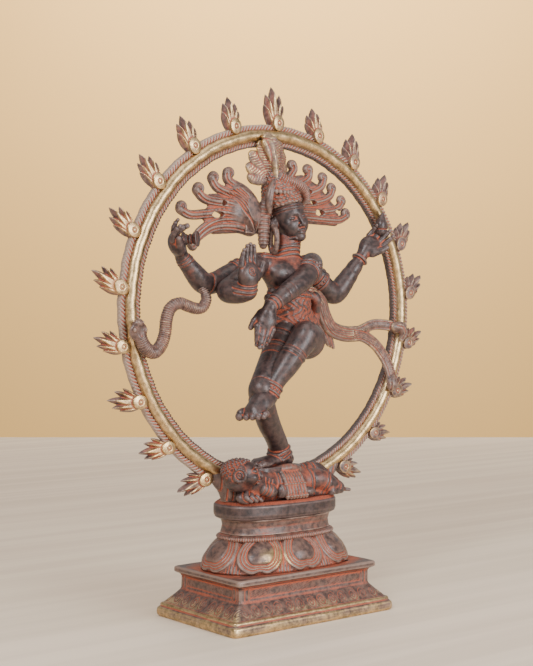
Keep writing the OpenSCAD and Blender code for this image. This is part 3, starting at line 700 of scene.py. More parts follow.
def flame_clay(length, mirror):
    """Five folded tongues round a boss; +Z is the main tongue, the front is -Y."""
    clay = Clay((-15, -5.6, -8), (15, 5.4, length + 2), 0.3)
    tongues = ((0.62, -35, 2.3, -0.6, -2.6), (0.84, -19, 2.7, -1.2, -1.4), (1.0, -3, 3.2, -1.6, 0.0),
               (0.82, 13, 2.6, -0.4, 1.5),
               (0.62, 27, 2.1, 0.6, 2.6))
    for share, spread, width, bow, root in tongues:
        reach, t = length * share, math.radians(spread)
        out, across = v3(math.sin(t), 0, math.cos(t)), v3(math.cos(t), 0, -math.sin(t))

        def fold(x, y, z, out=out, across=across, reach=reach, width=width, bow=bow, root=root):
            s = (x * out[0] + z * out[2]) / reach
            t = np.clip(s, 0, 1)
            u = x * across[0] + z * across[2] - root * (1 - t) - bow * t * t + 0.4 * np.sin(5 * t)
            leaf = width * (0.86 + 0.22 * t) * (1 - t ** 2.3) ** 0.85 - 3 * (s > 1)
            back = 1.35 + 0.5 * np.clip(s, 0, 1)
            w = np.abs(y - back)
            return np.maximum(0.75 * (np.abs(u) + 0.42 * w - leaf), np.maximum(-s * reach, w - 3.6))
        clay.join((-15, -5, -3), (15, 6, length + 2), fold, 0.15)
    clay.join((-7, -6, -8), (7, 5, 8), lambda x, y, z: np.maximum(
        np.sqrt((x / 0.90) ** 2 + (z / 1.10) ** 2) - 4.5,
        np.abs(y + 0.4) - 4.0 + 0.035 * (x * x + z * z)), 0.1)
    clay.raise_by((-3, -6, -3), (3, 0.4, 3), lambda x, y, z:
                  -0.5 * lump(np.hypot(x, z) - 1.3, 0.5) * (y < 0))
    points, quads = clay.mesh()
    wear_and_light = 0.40 * step(0.6, -1.8, points[:, 1]) - 0.45 * step(0.62, 0.92, points[:, 2] / length)
    wear_and_light += 0.12 * (np.hypot(points[:, 0], points[:, 2]) < 4.8)
    if mirror:
        points = points * v3(-1, 1, 1)
        quads = quads[:, ::-1]
    return points, quads, wear_and_light


def build_flames():
    shapes = {(top, mirror): flame_clay(23.2 if top else 19.0, mirror) for top in (False, True)
              for mirror in (False, True)}
    for n in range(1, FLAMES + 1):
        i = n - (FLAMES + 1) // 2
        a, lean = math.radians(i * PITCH), math.radians(flame_lean(i))
        points, quads, wear_and_light = shapes[(i == 0, i > 0)]
        grow = 1 + 0.035 * math.sin(2.7 * n)
        x, y, z = (points * (1 if i == 0 else grow)).T
        r = ARCH_R + 8.0
        turned_points = np.stack([x * math.cos(lean) + z * math.sin(lean) + r * math.sin(a), y + 0.1,
                                  -x * math.sin(lean) + z * math.cos(lean) + ARCH_Z + r * math.cos(a)], 1)
        # Painted light: flames on the key-lamp side (x < 0) get more bare brass, those on the far side
        # less.
        add_piece("Flame_%02d" % n, [(turned_points, quads)], WORN, ["flame_%02d" % n],
                  wear_and_light + 0.08 - 0.25 * math.sin(a), 0.44)


# ---- figure: trunk and head ---------------------------------------------------------

FRONT = v3(0, -1, 0)
SIDE = v3(1, 0, 0)


def build_torso():
    clay = Clay((-34, -24, 166), (46, 16, 238), 0.42)
    clay.blob((9, -4, 180), (20, 11.5, 12.5))
    clay.chain([(7, -4.5, 186, 13.5), (6.6, -5.5, 197, 10.6), (5.6, -5.5, 206, 12.2)], 5, per=3,
               squash=(FRONT, 1.15))
    clay.blob((4.5, -5, 213), (19, 9.5, 11), 5)
    clay.blob((-14, -2.5, 219), (8.5, 7.5, 6.5), 5)
    clay.blob((25, -3, 219), (8.5, 7.5, 6.5), 5)
    for x in (-4, 12.5):
        clay.blob((x, -11, 212.5), (8, 4.6, 6), 3.5)
        clay.blob((x, -15.3, 212), (0.9, 0.9, 0.9), 0.6)
    clay.blob((6.5, -10.5, 194), (9, 5.6, 8), 4)
    clay.carve((3, -20, 190), (10, -12, 198),
               ball_shape(v3(6.5, -16.2, 194.5), v3(1.3, 1.6, 1.1), np.eye(3)), 0.6)
    clay.taper((5.5, -3.5, 222), (6.3, -4.5, 236), 8.2, 7.4, 3)
    clay.ridge([(6.5, 0, 222), (6, 0, 205), (7, 0, 190)], 2.2, -0.9, per=4)
    for k, (r, z) in enumerate(((10.5, 228), (13.5, 225.5), (16.5, 222.8))):
        clay.ring((6.5, -6 - k, z), (0, 0.30 + 0.08 * k, 1), r + 6, 0.9, 0.8)
    clay.ring((6.4, -5, 200.5), (0.05, 0.05, 1), 22, 1.3, 0.9)
    clay.ring((6.6, -5, 197.6), (0.05, 0.05, 1), 22, 0.8, 0.8)

    def cloth(x, y, z):
        wear = step(201, 200, z) * step(168, 170, z)
        u, w = x * 0.9 + y * 0.5, z
        lattice = np.minimum(np.abs(((u + w) / 5.2) % 1 - 0.5), np.abs(((u - w) / 5.2) % 1 - 0.5)) * 5.2
        curls = np.sin(x * 1.15 + 1.6 * np.sin(z * 0.62)) * np.sin(z * 1.05 + 1.4
                * np.sin(x * 0.55 + y * 0.4))
        return wear * (0.6 - 0.30 * np.clip(1 - lattice / 0.5, 0, 1) + 0.34 * curls)
    clay.raise_by((-34, -24, 166), (46, 16, 202), cloth)
    for x, z in ((-8, 183), (-2, 180), (4, 178)):
        clay.ridge([(x - 4, 0, z + 8), (x, 0, z), (x + 6, 0, z - 5)], 0.9, 0.6, per=3)
    clay.chain([(22, -8, 199, 2.4), (27, -8, 196, 3.0), (28, -7, 190, 2.0)], 1.0)
    for x, z in ((-11.5, 200.5), (-14.2, 197), (-11.5, 194)):
        clay.blob((x, -11, z), (3.4, 3.2, 3.0), 0.4)
    clay.chain([(26, -8, 199, 2.6), (29, -4, 186, 3.0), (27, -6, 178, 2.2)], 1.5, per=3)
    return clay


class Head:
    """Turns head coordinates (across, forward, up) into the statue's own."""

    def __init__(self, centre, up, forward):
        self.c = v3(*centre)
        self.u = unit(v3(*up))
        f = v3(*forward)
        self.f = unit(f - (f @ self.u) * self.u)
        self.r = np.cross(self.f, self.u)
        self.turn = np.array([self.r, self.f, self.u])

    def at(self, x, y, z):
        return self.c + x * self.r + y * self.f + z * self.u


HEAD = Head((6.3, -4.2, 246.6), (-0.24, 0.03, 1), (0.05, -1, -0.02))


def build_head():
    h = HEAD
    clay = Clay((-10, -26, 226), (23, 14, 266), 0.28)

    def ball(x, y, z, a, b, c, k=1.0):
        clay.blob(h.at(x, y, z), (a, b, c), k, h.turn)

    ball(0, 0, 2.5, 10.6, 12.0, 12.5)
    ball(0, 3.2, -6.5, 8.2, 8.2, 8.0, 4)
    ball(0, 8.6, -12.2, 3.3, 3.0, 2.5, 3)
    for s in (-1, 1):
        ball(s * 5.2, 6.6, -4.2, 3.6, 3.8, 4.4, 3)
        clay.carve(h.at(s * 4.4, 13.2, 0.6) - 5, h.at(s * 4.4, 13.2, 0.6) + 5,
                   ball_shape(h.at(s * 4.4, 12.6, 0.6), v3(3.3, 2.3, 1.9), h.turn), 1.6)
        ball(s * 4.3, 8.7, 0.5, 2.7, 2.2, 1.45, 0.3)
    clay.taper(h.at(0, 10.9, 2.6), h.at(0, 13.6, -3.9), 1.25, 1.75, 1.6)
    ball(0, 13.4, -4.2, 1.6, 1.5, 1.3, 0.8)
    for s in (-1, 1):
        ball(s * 1.75, 12.0, -4.6, 1.15, 1.5, 1.05, 0.7)
    ball(0, 10.6, -7.6, 3.4, 1.7, 0.95, 0.8)
    ball(0, 10.3, -9.3, 2.7, 1.7, 1.05, 0.7)
    drop = (h.f, 0.0)

    def line(points, width, height):
        p = spline([h.at(*q) for q in points], 5)
        low, high = p.min(0) - 6, p.max(0) + 6
        cut, g = clay.window(low, high)
        near = np.full(clay.d[cut].shape, 99.0, np.float32)
        for a, b in zip(p[:-1], p[1:]):
            near = np.minimum(near, taper_shape(a, b, 0, 0, drop)(*g))
        ahead = (g[0] - h.c[0]) * h.f[0] + (g[1] - h.c[1]) * h.f[1] + (g[2] - h.c[2]) * h.f[2]
        clay.d[cut] -= np.where(ahead > 4, height * np.clip(1 - (near / width) ** 2, 0, 1), 0)

    line([(-3.3, 0, -8.3), (-1.2, 0, -8.5), (0, 0, -8.35), (1.2, 0, -8.5), (3.3, 0, -8.3)], 0.45, -0.5)
    for s in (-1, 1):
        line([(s * 1.2, 0, 3.4), (s * 3.6, 0, 4.5), (s * 6.0, 0, 4.2), (s * 8.2, 0, 2.9)], 0.55, 0.45)
        line([(s * 1.7, 0, 0.2), (s * 3.2, 0, 1.6), (s * 5.0, 0, 1.7), (s * 7.2, 0, 0.3)], 0.42, 0.45)
        line([(s * 1.9, 0, 0.0), (s * 3.6, 0, -1.0), (s * 5.4, 0, -0.9), (s * 7.0, 0, 0.2)], 0.36, 0.32)
        line([(s * 2.0, 0, 2.5), (s * 4.2, 0, 3.2), (s * 6.8, 0, 2.3)], 0.3, -0.25)
    for s in (-1, 1):
        ball(s * 10.6, -1.2, -0.5, 1.5, 3.0, 4.6, 0.8)
        clay.carve(h.at(s * 12, -1, -0.5) - 4, h.at(s * 12, -1, -0.5) + 4,
                   ball_shape(h.at(s * 12.3, -0.8, 0.2), v3(1.0, 1.6, 2.6), h.turn), 0.5)
    clay.taper(h.at(0.5, -1.5, -10), (5.8, -4.5, 227), 7.4, 7.4, 2.5)
    for s in (-1, 1):
        ball(s * 12.4, -2.0, -1.5, 2.6, 2.6, 4.2, 1.5)
    for k in range(2):
        clay.ring(v3(6.3, -4.5, 229.5 + 3 * k), (0, 0.2, 1), 9, 0.9, 0.7)
    for k in range(3):
        clay.ring(h.at(0, 0, 4.6 + 2.2 * k), h.u + 0.22 * h.f * -1 + 0.12 * h.r * -1, 17, 1.05, 0.85)
    return clay


def build_crown():
    h = HEAD
    clay = Clay((-22, -20, 224), (32, 16, 284), 0.38)
    clay.chain([(3.5, -2.5, 256, 12.3), (0, -3.5, 263, 10.4), (-4, -4, 269, 7.4), (-6.8, -4.5, 273, 5.0)],
               2, per=4)
    clay.blob((7, -0.5, 250), (12.2, 11.0, 12.0), 2)

    def hair(x, y, z):
        up = (x - h.c[0]) * -0.26 + (z - h.c[2])
        around = np.arctan2(x - 2 + 0.35 * (z - 256), -(y + 3))
        rows = np.cos(2 * np.pi * up / 2.3 + 1.3 * np.sin(7 * around))
        return step(8, 9.5, up) * (0.20 * rows + 0.16 * np.cos(26 * around + up) + 0.10
                                   * np.sin(1.9 * x + z))
    clay.raise_by((-22, -20, 244), (26, 16, 284), hair)

    def face_side(x, y, z):
        up, ahead = ((x - h.c[0]) * a[0] + (y - h.c[1]) * a[1] + (z - h.c[2]) * a[2] for a in (h.u, h.f))
        return 0.9 * np.maximum(up - 8.6 - 0.10 * ahead, -ahead - 1.0)
    clay.carve((-22, -24, 226), (26, 16, 284), face_side, 0.6)
    garland = [(19.5, -2, 257, 1.4), (18.0, -8, 261, 2.3), (13, -11.2, 265.5, 2.7),
               (6.5, -12.2, 268.2, 2.8), (0, -11.6, 270, 2.6), (-5, -10.5, 272.5, 2.0)]
    clay.chain(garland, 0.7, per=4)
    clay.cord(spline([g[:3] for g in garland], 6), 4.2, 1.5, 0.42)
    leaf = [(-7.5, -9, 270.5, 1.5), (-11.0, -9.5, 264.5, 2.9), (-12.6, -9, 257.5, 3.1),
            (-11.6, -8.5, 250.5, 1.7)]
    clay.chain(leaf, 0.8, per=4, squash=(unit(v3(0.6, -0.8, 0)), 1.3))
    clay.ridge([(-9.0, -12, 268), (-11.8, -12.6, 261), (-12.4, -11.8, 254)], 0.8, 0.5, per=4)
    clay.ridge([(-10.5, -11.5, 268), (-14.0, -11.4, 261), (-14.0, -10.4, 254)], 0.5, -0.4, per=4)
    for k in range(7):
        t = k / 6
        clay.blob((-9.5 + 15 * t, -12.5 - 1.8 * math.sin(math.pi * t), 262.5 - 0.5 * t), (1.5, 1.2, 1.5),
                  0.35)
    tail = [(-6.5, -1, 258, 3.2), (-10.5, -2, 252, 3.5), (-12, -3, 240, 3.0), (-12.4, -3, 229.5, 2.4)]
    clay.chain(tail, 1.5, per=4, squash=(SIDE, 0.85))
    clay.cord(spline([g[:3] for g in tail], 4), 5.4, 2.4, 0.16)
    clay.chain([(17, 2, 258, 3.0), (17.5, 3, 250, 2.8), (16.5, 3.5, 243, 1.8)], 1.0, per=3)
    return clay


def build_fan():
    """Nine barbed feathers that wrap back round the crown."""
    clay = Clay((-34, -16, 262), (22, 14, 302), 0.38)
    base = v3(-6.5, -6.5, 271)
    tilt = math.radians(-4)
    for k in range(-4, 5):
        b = math.radians(21 * k)
        way = unit(v3(0.86 * math.sin(b + tilt), 0.46 * abs(math.sin(b)) - 0.05, math.cos(b + tilt)))
        reach = 15.0 + 9.5 * math.cos(b) ** 1.5
        across = unit(np.cross(way, unit(v3(0.35 * math.sin(b), -1, 0.1))))
        face = np.cross(across, way)
        rows = [(0.10, 2.4), (0.35, 3.9), (0.65, 4.9), (0.84, 4.5), (0.95, 3.0)]
        for (t0, r0), (t1, r1) in zip(rows[:-1], rows[1:]):
            clay.taper(base + way * reach * t0, base + way * reach * t1, r0, r1, 0.2, (face, 2.2))
        clay.taper(base + way * 3 + face * -1.1, base + way * (reach - 1.5) + face * -1.5, 0.9, 0.7, 0.3)
        c = base + way * reach * 0.55

        def barbs(x, y, z, way=way, across=across, reach=reach):
            px, py, pz = x - base[0], y - base[1], z - base[2]
            t = px * way[0] + py * way[1] + pz * way[2]
            u = np.abs(px * across[0] + py * across[1] + pz * across[2])
            inside = (u < 0.16 * reach) & (t > 3) & (t < reach - 0.5)
            return np.where(inside, 0.40 * np.cos(2 * np.pi * (t - 0.4 * u) / 1.75), 0)
        clay.raise_by(c - reach * 0.6 - 2, c + reach * 0.6 + 2, barbs)
    return clay


def build_post():
    """The tall middle feather, with a second leaf lapped beside it."""
    clay = Clay((-21, -16, 268), (-2, 3, 306), 0.34)
    clay.chain([(-7.5, -9.5, 271, 2.0), (-8.6, -9.8, 281, 2.1), (-10.2, -9.0, 289, 2.3),
                (-11.6, -7.8, 294, 2.7)], 0.4, per=3)
    clay.chain([(-11.0, -8.5, 282, 1.2), (-13.2, -8.2, 288, 1.8), (-14.8, -7.0, 292.5, 2.2)], 0.3, per=3)
    clay.ridge([(-7.2, -12.0, 273), (-8.4, -12.2, 281), (-9.8, -11.4, 289)], 0.5, -0.4, per=3)
    clay.blob((-12.6, -6.4, 295.6), (3.6, 2.8, 3.0), 0.8)
    clay.blob((-9.5, -3.6, 297.0), (4.4, 2.4, 2.8), 1.2)
    clay.ring((-12.6, -6.4, 294.0), (0.3, 0.2, 1), 4.6, 0.6, -0.5)
    return clay


def build_pendants():
    clay = Clay((-20, -18, 218), (30, 12, 252), 0.36)
    for s in (-1, 1):
        top = HEAD.at(14.2, 0.5, -3.0) if s > 0 else HEAD.at(-8.6, -4.5, -4.0)
        loop = [top + v3(s * 0.6, dy, dz) for dy, dz in
                ((0, 1), (-2.6, -2), (-3.3, -7), (-2.4, -12.5), (0, -14.8), (2.4, -12.5), (3.0, -7),
                 (2.2, -2), (0, 1))]
        for p, q in zip(spline(loop, 3)[:-1], spline(loop, 3)[1:]):
            clay.taper(p, q, 1.75, 1.75, 0.4)
        clay.blob(loop[4] + v3(0, 0, 0.5), (1.9, 2.6, 2.2), 0.8)
        clay.ridge([top + v3(s * 1.8, -3.2, -4), top + v3(s * 1.8, -3.2, -11)], 0.4, 0.3)
    return clay


# ---- hair, in flat locks with curled ends -----------------------------------------------

HAIR_Y = 4.0


def groove(clay, line, width, height, reach=(-14.0, 14.0)):
    """Cuts a groove straight through along y, following (x, z) points."""
    p = np.array([(x, 0.0, z) for x, z in line])
    w = width + 0.3
    low, high = p.min(0) - w, p.max(0) + w
    low[1], high[1] = reach
    cut, g = clay.window(low, high)
    if not clay.d[cut].size:
        return
    near = np.full(np.broadcast_shapes(g[0].shape, g[2].shape), 99.0, np.float32)
    flat = np.zeros((1, 1, 1), np.float32)
    for a, b in zip(p[:-1], p[1:]):
        near = np.minimum(near, taper_shape(a, b, 0, 0)(g[0], flat, g[2]))
    clay.d[cut] -= height * np.clip(1 - (near / width) ** 2, 0, 1)


def lock(clay, path, width=3.3, curl=1, size=3.4):
    """A ridged lock through (x, z) points; its end winds into a curl on the given side."""
    line = spline([(x, z) for x, z in path], 6)
    way = unit(line[-1] - line[-2])
    centre = line[-1] + v3(-way[1], way[0]) * curl * size * 0.62
    start = math.atan2(line[-1][1] - centre[1], line[-1][0] - centre[0])
    coil = [centre + size * 0.62 * (1 - 0.04 * j)
            * v3(math.cos(start + curl * 0.45 * j), math.sin(start + curl * 0.45 * j))
            for j in range(1, 12)]
    full = np.vstack([line, coil])
    n = len(line)
    for j, (p, q) in enumerate(zip(full[:-1], full[1:])):
        w = width * (1 - 0.22 * j / n) if j < n else width * 0.66
        clay.taper((p[0], HAIR_Y, p[1]), (q[0], HAIR_Y, q[1]), w, w, 0.25)
    clay.blob((centre[0], HAIR_Y, centre[1]), (1.3, 2.0, 1.3), 0.3)
    for off in (-0.38, 0.38):
        side = []
        for p, q in zip(line[:-1], line[1:]):
            d = unit(q - p)
            side.append((p[0] - off * width * d[1], p[1] + off * width * d[0]))
        groove(clay, side, 0.6, -0.7)
    groove(clay, coil[2:], 0.5, -0.35)


def web(clay, corners):
    """Thin metal that fills in between locks, inside a round of (x, z) corners."""
    c = np.array(corners, float)
    middle = c.mean(0)
    for p, q in zip(c, np.roll(c, -1, 0)):
        for f in (0.30, 0.62, 0.94):
            a, b = middle + (p - middle) * f, middle + (q - middle) * f
            clay.taper((a[0], HAIR_Y, a[1]), (b[0], HAIR_Y, b[1]), 3.4, 3.4, 0.3, (FRONT, 2.4))


def pierce(clay, x0, z0, a, b):
    clay.carve((x0 - 7, -6, z0 - 4), (x0 + 7, 14, z0 + 4),
               lambda x, y, z: (np.hypot((x - x0) / a, (z - z0) / b) - 1) * b + 0 * y, 0.5)


def build_hair_left():
    clay = Clay((-78, -4, 222), (-8, 12, 282), 0.42)
    lock(clay, [(-18, 243), (-36, 249), (-52, 247.5), (-63, 246.5), (-70, 249)], 3.4, -1)
    lock(clay, [(-18, 247), (-32, 254.5), (-45, 255.5), (-53, 257), (-58, 261)], 3.5, -1)
    lock(clay, [(-18, 252), (-28, 259.5), (-37, 262), (-43.5, 264.5), (-47, 269)], 3.4, -1, 3.2)
    lock(clay, [(-17, 255), (-22, 263), (-29, 266), (-35, 269.5), (-35.5, 273.5)], 3.4, -1, 3.0)
    lock(clay, [(-18, 239), (-34, 241), (-47, 239.5), (-56, 234.5), (-62, 229)], 3.4, 1, 2.0)
    lock(clay, [(-18, 241), (-34, 245), (-46, 243), (-55, 238), (-60, 233)], 2.8, 1, 2.0)
    web(clay, [(-20, 240), (-24, 262), (-33, 266), (-38, 258), (-48, 257), (-47, 251), (-52, 246),
               (-46, 238)])
    for x, z, a, b in ((-43.5, 247.6, 4.4, 1.9), (-39, 254.8, 1.8, 1.7), (-30, 245.8, 1.6, 1.0)):
        pierce(clay, x, z, a, b)
    clay.chain([(-18, 3, 240, 4), (-19, 1.5, 249, 6.4), (-23, 2, 258, 5.6), (-29, 3.5, 264.5, 3.4)], 2.5,
               per=4)
    clay.blob((-27, 3.2, 250), (8, 4.6, 10), 2.5)
    for k in range(6):
        t = k / 5
        groove(clay, spline([(-17 - 1 * t, 238 + 2 * t), (-18 - 7 * t, 247 + 2 * t),
                             (-22 - 9 * t, 256 + 1.5 * t), (-29 - 8 * t, 264 - 3 * t)], 5),
               0.65, -0.8)
    return clay


def build_hair_right():
    clay = Clay((6, -4, 242), (72, 11, 288), 0.42)
    lock(clay, [(13, 250), (28, 249.2), (44, 248.8), (56, 249), (63, 252)], 3.1, 1, 3.2)
    lock(clay, [(13, 253.5), (30, 253), (45, 254), (55, 256.5), (59.5, 261)], 3.1, 1, 2.8)
    lock(clay, [(13, 257.5), (28, 258.5), (40, 260.5), (48, 264), (51, 269)], 3.2, 1, 2.6)
    lock(clay, [(13, 261.5), (24, 263.5), (35, 266.5), (41, 270), (43.5, 275.5)], 3.2, 1, 2.6)
    lock(clay, [(11, 264.5), (18, 268), (25, 271.5), (30, 275), (31, 280)], 3.3, 1, 2.8)
    lock(clay, [(9, 267), (12, 271), (15, 275.5), (18, 279.5), (17.5, 282.5)], 3.1, 1, 2.6)
    clay.blob((14, 3.5, 259), (8, 4.0, 9.5), 3)
    web(clay, [(12, 248), (12, 272), (24, 274), (38, 268), (46, 260), (54, 254), (54, 247.5)])
    for x, z, a, b in ((28.9, 266, 3.0, 1.7), (38.8, 253, 3.6, 2.0), (33.1, 259.2, 2.6, 1.2),
                       (55, 254.8, 2.2, 1.2)):
        pierce(clay, x, z, a, b)
    for k in range(5):
        t = k / 4
        groove(clay, spline([(8 + t, 268 - 17 * t), (14 + 3 * t, 270 - 18 * t),
                             (21 + 4 * t, 272 - 20 * t)], 5), 0.55, -0.7)
    return clay


def build_bridge():
    low, high = node_box("hair_bridge")
    clay = Clay(low - 2, high + 2, 0.42)
    c, half = (low + high) / 2, (high - low) / 2
    clay.join(low - 2, high + 2, lambda x, y,
              z: np.maximum(np.maximum(np.abs(x - c[0]) - half[0], np.abs(y - c[1]) - half[1] + 0.5),
                                                            np.abs(z - c[2]) - half[2]) + 0.1
                                                            * np.sin(z / 2.0) * np.sin(x / 3))
    return clay


# ---- arms, legs, hands and feet ----------------------------------------------------------


def hand(clay, wrist, way, palm_side, length, thumb, bends=(0, 0, 0, 0), width=1.0, gap=0.0, thumb_out=0.5):
    """A hand from the wrist; bends curl each finger toward the palm, in degrees."""
    way, palm_side = unit(way), unit(palm_side - (palm_side @ unit(way)) * unit(way))
    across = np.cross(way, palm_side) * thumb
    turn = np.array([across, palm_side, way])
    w = length * width
    clay.blob(wrist + way * length * 0.27, (w * 0.25, w * 0.15, length * 0.29), 2.5, turn)
    clay.blob(wrist + way * length * 0.22 + across * w * 0.12 + palm_side * w * 0.05,
              (w * 0.13, w * 0.11, length * 0.18), 1.5, turn)
    for k, (reach, r) in enumerate(((0.43, 0.086), (0.47, 0.090), (0.44, 0.086), (0.36, 0.076))):
        off = (1.5 - k) * 0.130
        root = wrist + way * length * 0.47 + across * w * off
        p, d = root, unit(way + across * gap * (1.5 - k) * 0.12)
        bend = math.radians(bends[k])
        for j, share in enumerate((0.40, 0.33, 0.27)):
            d = unit(d * math.cos(bend) + palm_side * math.sin(bend))
            q = p + d * length * reach * share
            ra, rb = length * r * (1 - 0.13 * j), length * r * (0.87 - 0.13 * j)
            clay.taper(p, q, ra, rb, 0.35 if j else 0.8)
            p = q
        clay.ring(p - d * 0.6 - palm_side * 0.9, d, 1.2, 0.5, -0.25)
    p = wrist + way * length * 0.14 + across * w * 0.17 + palm_side * w * 0.05
    d = unit(way + across * thumb_out + palm_side * 0.25)
    q = p + d * length * 0.24
    clay.taper(p, q, length * 0.105, length * 0.088, 1.0)
    clay.taper(q, q + unit(d + way * 0.5) * length * 0.17, length * 0.088, length * 0.066, 0.4)


def bangle(clay, c, axis, radius, heights=(1.0, 0.7, 1.0), gap=1.9, width=0.85):
    axis = unit(v3(*axis))
    for k, h in enumerate(heights):
        clay.ring(v3(*c) + axis * gap * (k - (len(heights) - 1) / 2), axis, radius, width, h,
                  beads=16 if 0.6 < h < 0.9 else 0)


def build_arm_drum():
    clay = Clay((-92, -16, 196), (-10, 12, 246), 0.42)
    clay.chain([(-14, 1, 219, 6.5), (-34, 1, 211.5, 6.5), (-46, 0.5, 206.5, 5.7)], 2, per=3)
    clay.chain([(-46, 0.5, 206.5, 5.7), (-55, 0, 205, 5.6), (-62, -1, 210, 5.5), (-73, -2, 220.5, 3.9)],
               2.5, per=3)
    clay.taper((-73, -2, 220.5), (-76, -3.5, 225.5), 3.8, 4.0, 1.5)
    hand(clay, v3(-75.5, -3, 222.5), v3(-0.55, -0.15, 1), v3(1, -0.9, 0.4), 24, -1, (26, 52, 56, 22),
         1.34, 0.7)
    bangle(clay, (-29, 1, 213), (-1, 0, -0.38), 9, (1.0, 0.7, 1.0))
    clay.blob((-27.5, -4.6, 216), (2.6, 1.6, 3.4), 0.6)
    bangle(clay, (-71.5, -2, 219), (-0.7, -0.1, 0.8), 6.2, (0.5, 0.5), 1.7)
    clay.ring((-52, 0, 206), (-1, 0, 0.2), 8, 0.6, -0.5)
    return clay


def build_arm_flame():
    clay = Clay((20, -18, 192), (104, 12, 250), 0.42)
    clay.chain([(26, 0, 216, 6.4), (35, 0.5, 210, 6.4), (44, 0, 202.5, 5.8)], 2, per=3)
    clay.chain([(44, 0, 202.5, 5.8), (50, 0, 200.5, 5.7), (57, -1, 208, 5.6), (69, -3, 223.5, 3.9)], 2.5,
               per=3)
    clay.taper((69, -3, 223.5), (73.5, -4.2, 231), 3.9, 4.2, 1.5)
    hand(clay, v3(71.5, -3.8, 228), v3(0.85, -0.2, 0.75), v3(-0.35, -1, 0.5), 25, 1, (12, 8, 6, 22), 1.15,
         0.4)
    bangle(clay, (36, 0.3, 209.5), (0.8, 0, -0.6), 9, (1.0, 0.7, 1.0))
    clay.blob((35, -5.2, 212.5), (2.6, 1.6, 3.2), 0.6)
    clay.ring((69, -3, 223.5), (0.62, -0.1, 0.78), 6.6, 1.0, 1.5)
    return clay


def build_arm_blessing():
    clay = Clay((-58, -38, 192), (-8, 6, 234), 0.38)
    clay.chain([(-15, -4, 218, 6.4), (-32, -8.5, 209.5, 6.2), (-43, -11, 203.5, 5.6)], 2, per=3)
    clay.chain([(-43, -11, 203.5, 5.6), (-48.5, -14, 200.5, 5.8), (-46, -20.5, 199.8, 5.8),
                (-43.4, -26.8, 201, 5.6)], 2.5, per=3)
    clay.taper((-43.4, -26.8, 201), (-44, -28.6, 207), 5.6, 5.2, 1.5)
    hand(clay, v3(-43.4, -27.8, 204), v3(-0.07, -0.03, 1), v3(0.3, -1, 0.05), 25.5, 1, (3, 3, 4, 6), 1.30,
         -0.5, 0.70)
    bangle(clay, (-29, -7.5, 211), (-1, -0.25, -0.5), 9, (1.0, 0.7, 1.0))
    clay.blob((-27, -12.6, 214.5), (2.6, 1.8, 3.2), 0.6)
    bangle(clay, (-43.2, -27.4, 202.6), (-0.2, -0.35, 1), 8.6, (-0.4, 0.35, -0.4, 0.35, -0.4), 1.3, 0.55)
    turns = np.linspace(0.6, 12, 46)
    coil = [(-44.5 + 0.24 * t * math.cos(t), -31.2, 212 + 0.24 * t * math.sin(t)) for t in turns]
    groove(clay, [(x, z) for x, _, z in coil], 0.5, -0.4, (-40, -28.5))
    return clay


def build_arm_crossing():
    clay = Clay((-42, -36, 160), (38, 6, 232), 0.42)
    clay.chain([(26, -4.5, 219.5, 7.0), (17, -12.5, 214.5, 6.6), (9, -17.5, 210, 5.8)], 2.5, per=3)
    clay.chain([(9, -17.5, 210, 5.8), (3.5, -20, 207, 5.7), (-8, -22, 201, 5.5), (-23.5, -24, 192, 3.9)],
               2.5, per=3)
    clay.taper((-23.5, -24, 192), (-26.5, -24.6, 188), 3.9, 4.1, 1.5)
    hand(clay, v3(-25, -24.3, 190.2), v3(-0.34, -0.1, -1), v3(0.5, 1, -0.1), 26, -1, (6, 3, 3, 6), 0.92,
         -1.0)
    bangle(clay, (15.5, -13.5, 213.5), (-0.75, -0.55, -0.4), 9, (1.0, 0.7, 1.0), 2.0)
    for k in range(6):
        t = k * math.pi / 3
        clay.blob((18.5 + 2.3 * math.cos(t), -19.2, 217 + 2.3 * math.sin(t)), (1.25, 1.2, 1.25), 0.3)
    clay.blob((18.5, -19.8, 217), (1.5, 1.3, 1.5), 0.3)
    bangle(clay, (-21.5, -23.8, 193.5), (-0.82, -0.1, -0.52), 6.6, (0.5, -0.35, 0.5, -0.35, 0.5), 1.4, 0.6)
    clay.ring((-6, -22, 202), (-0.85, 0, -0.5), 8, 0.5, -0.2)
    clay.ring((-11, -22.5, 199.5), (-0.85, 0, -0.5), 8, 0.5, -0.2)
    return clay


def foot(clay, heel, toes, up, width, side):
    """A bare foot with five toes; side is +1 where the big toe lies along up x way."""
    heel, toes, up = v3(*heel), v3(*toes), unit(v3(*up))
    way = unit(toes - heel)
    up = unit(up - (up @ way) * way)
    across = np.cross(up, way) * side
    span = np.linalg.norm(toes - heel)
    turn = np.array([across, up, way])
    clay.blob(heel + way * 2.5 + up * 0.6, (width * 0.34, 3.9, 4.8), 2, turn)
    clay.blob(heel + way * span * 0.42 + up * 0.6, (width * 0.38, 3.2, span * 0.34), 3, turn)
    clay.blob(heel + way * span * 0.72 - up * 0.4, (width * 0.49, 2.6, span * 0.21), 2, turn)
    for k, (off, reach, r) in enumerate(((0.35, 1.0, 0.150), (0.10, 1.0, 0.115), (-0.10, 0.97, 0.108),
                                         (-0.28, 0.93, 0.100), (-0.44, 0.88, 0.092))):
        r = r * width
        root = heel + way * span * (0.76 - 0.02 * k) + across * off * width - up * 0.6
        tip = heel + way * span * (reach - 0.09) + across * (off + 0.01) * width - up * 0.9
        mid = (root + tip) / 2 + up * 0.5
        clay.taper(root, mid, r * 1.05, r, 0.4)
        clay.taper(mid, tip, r, r * 0.92, 0.3)
        clay.ring(tip + up * r * 0.8, way, r * 0.9, 0.4, -0.22)


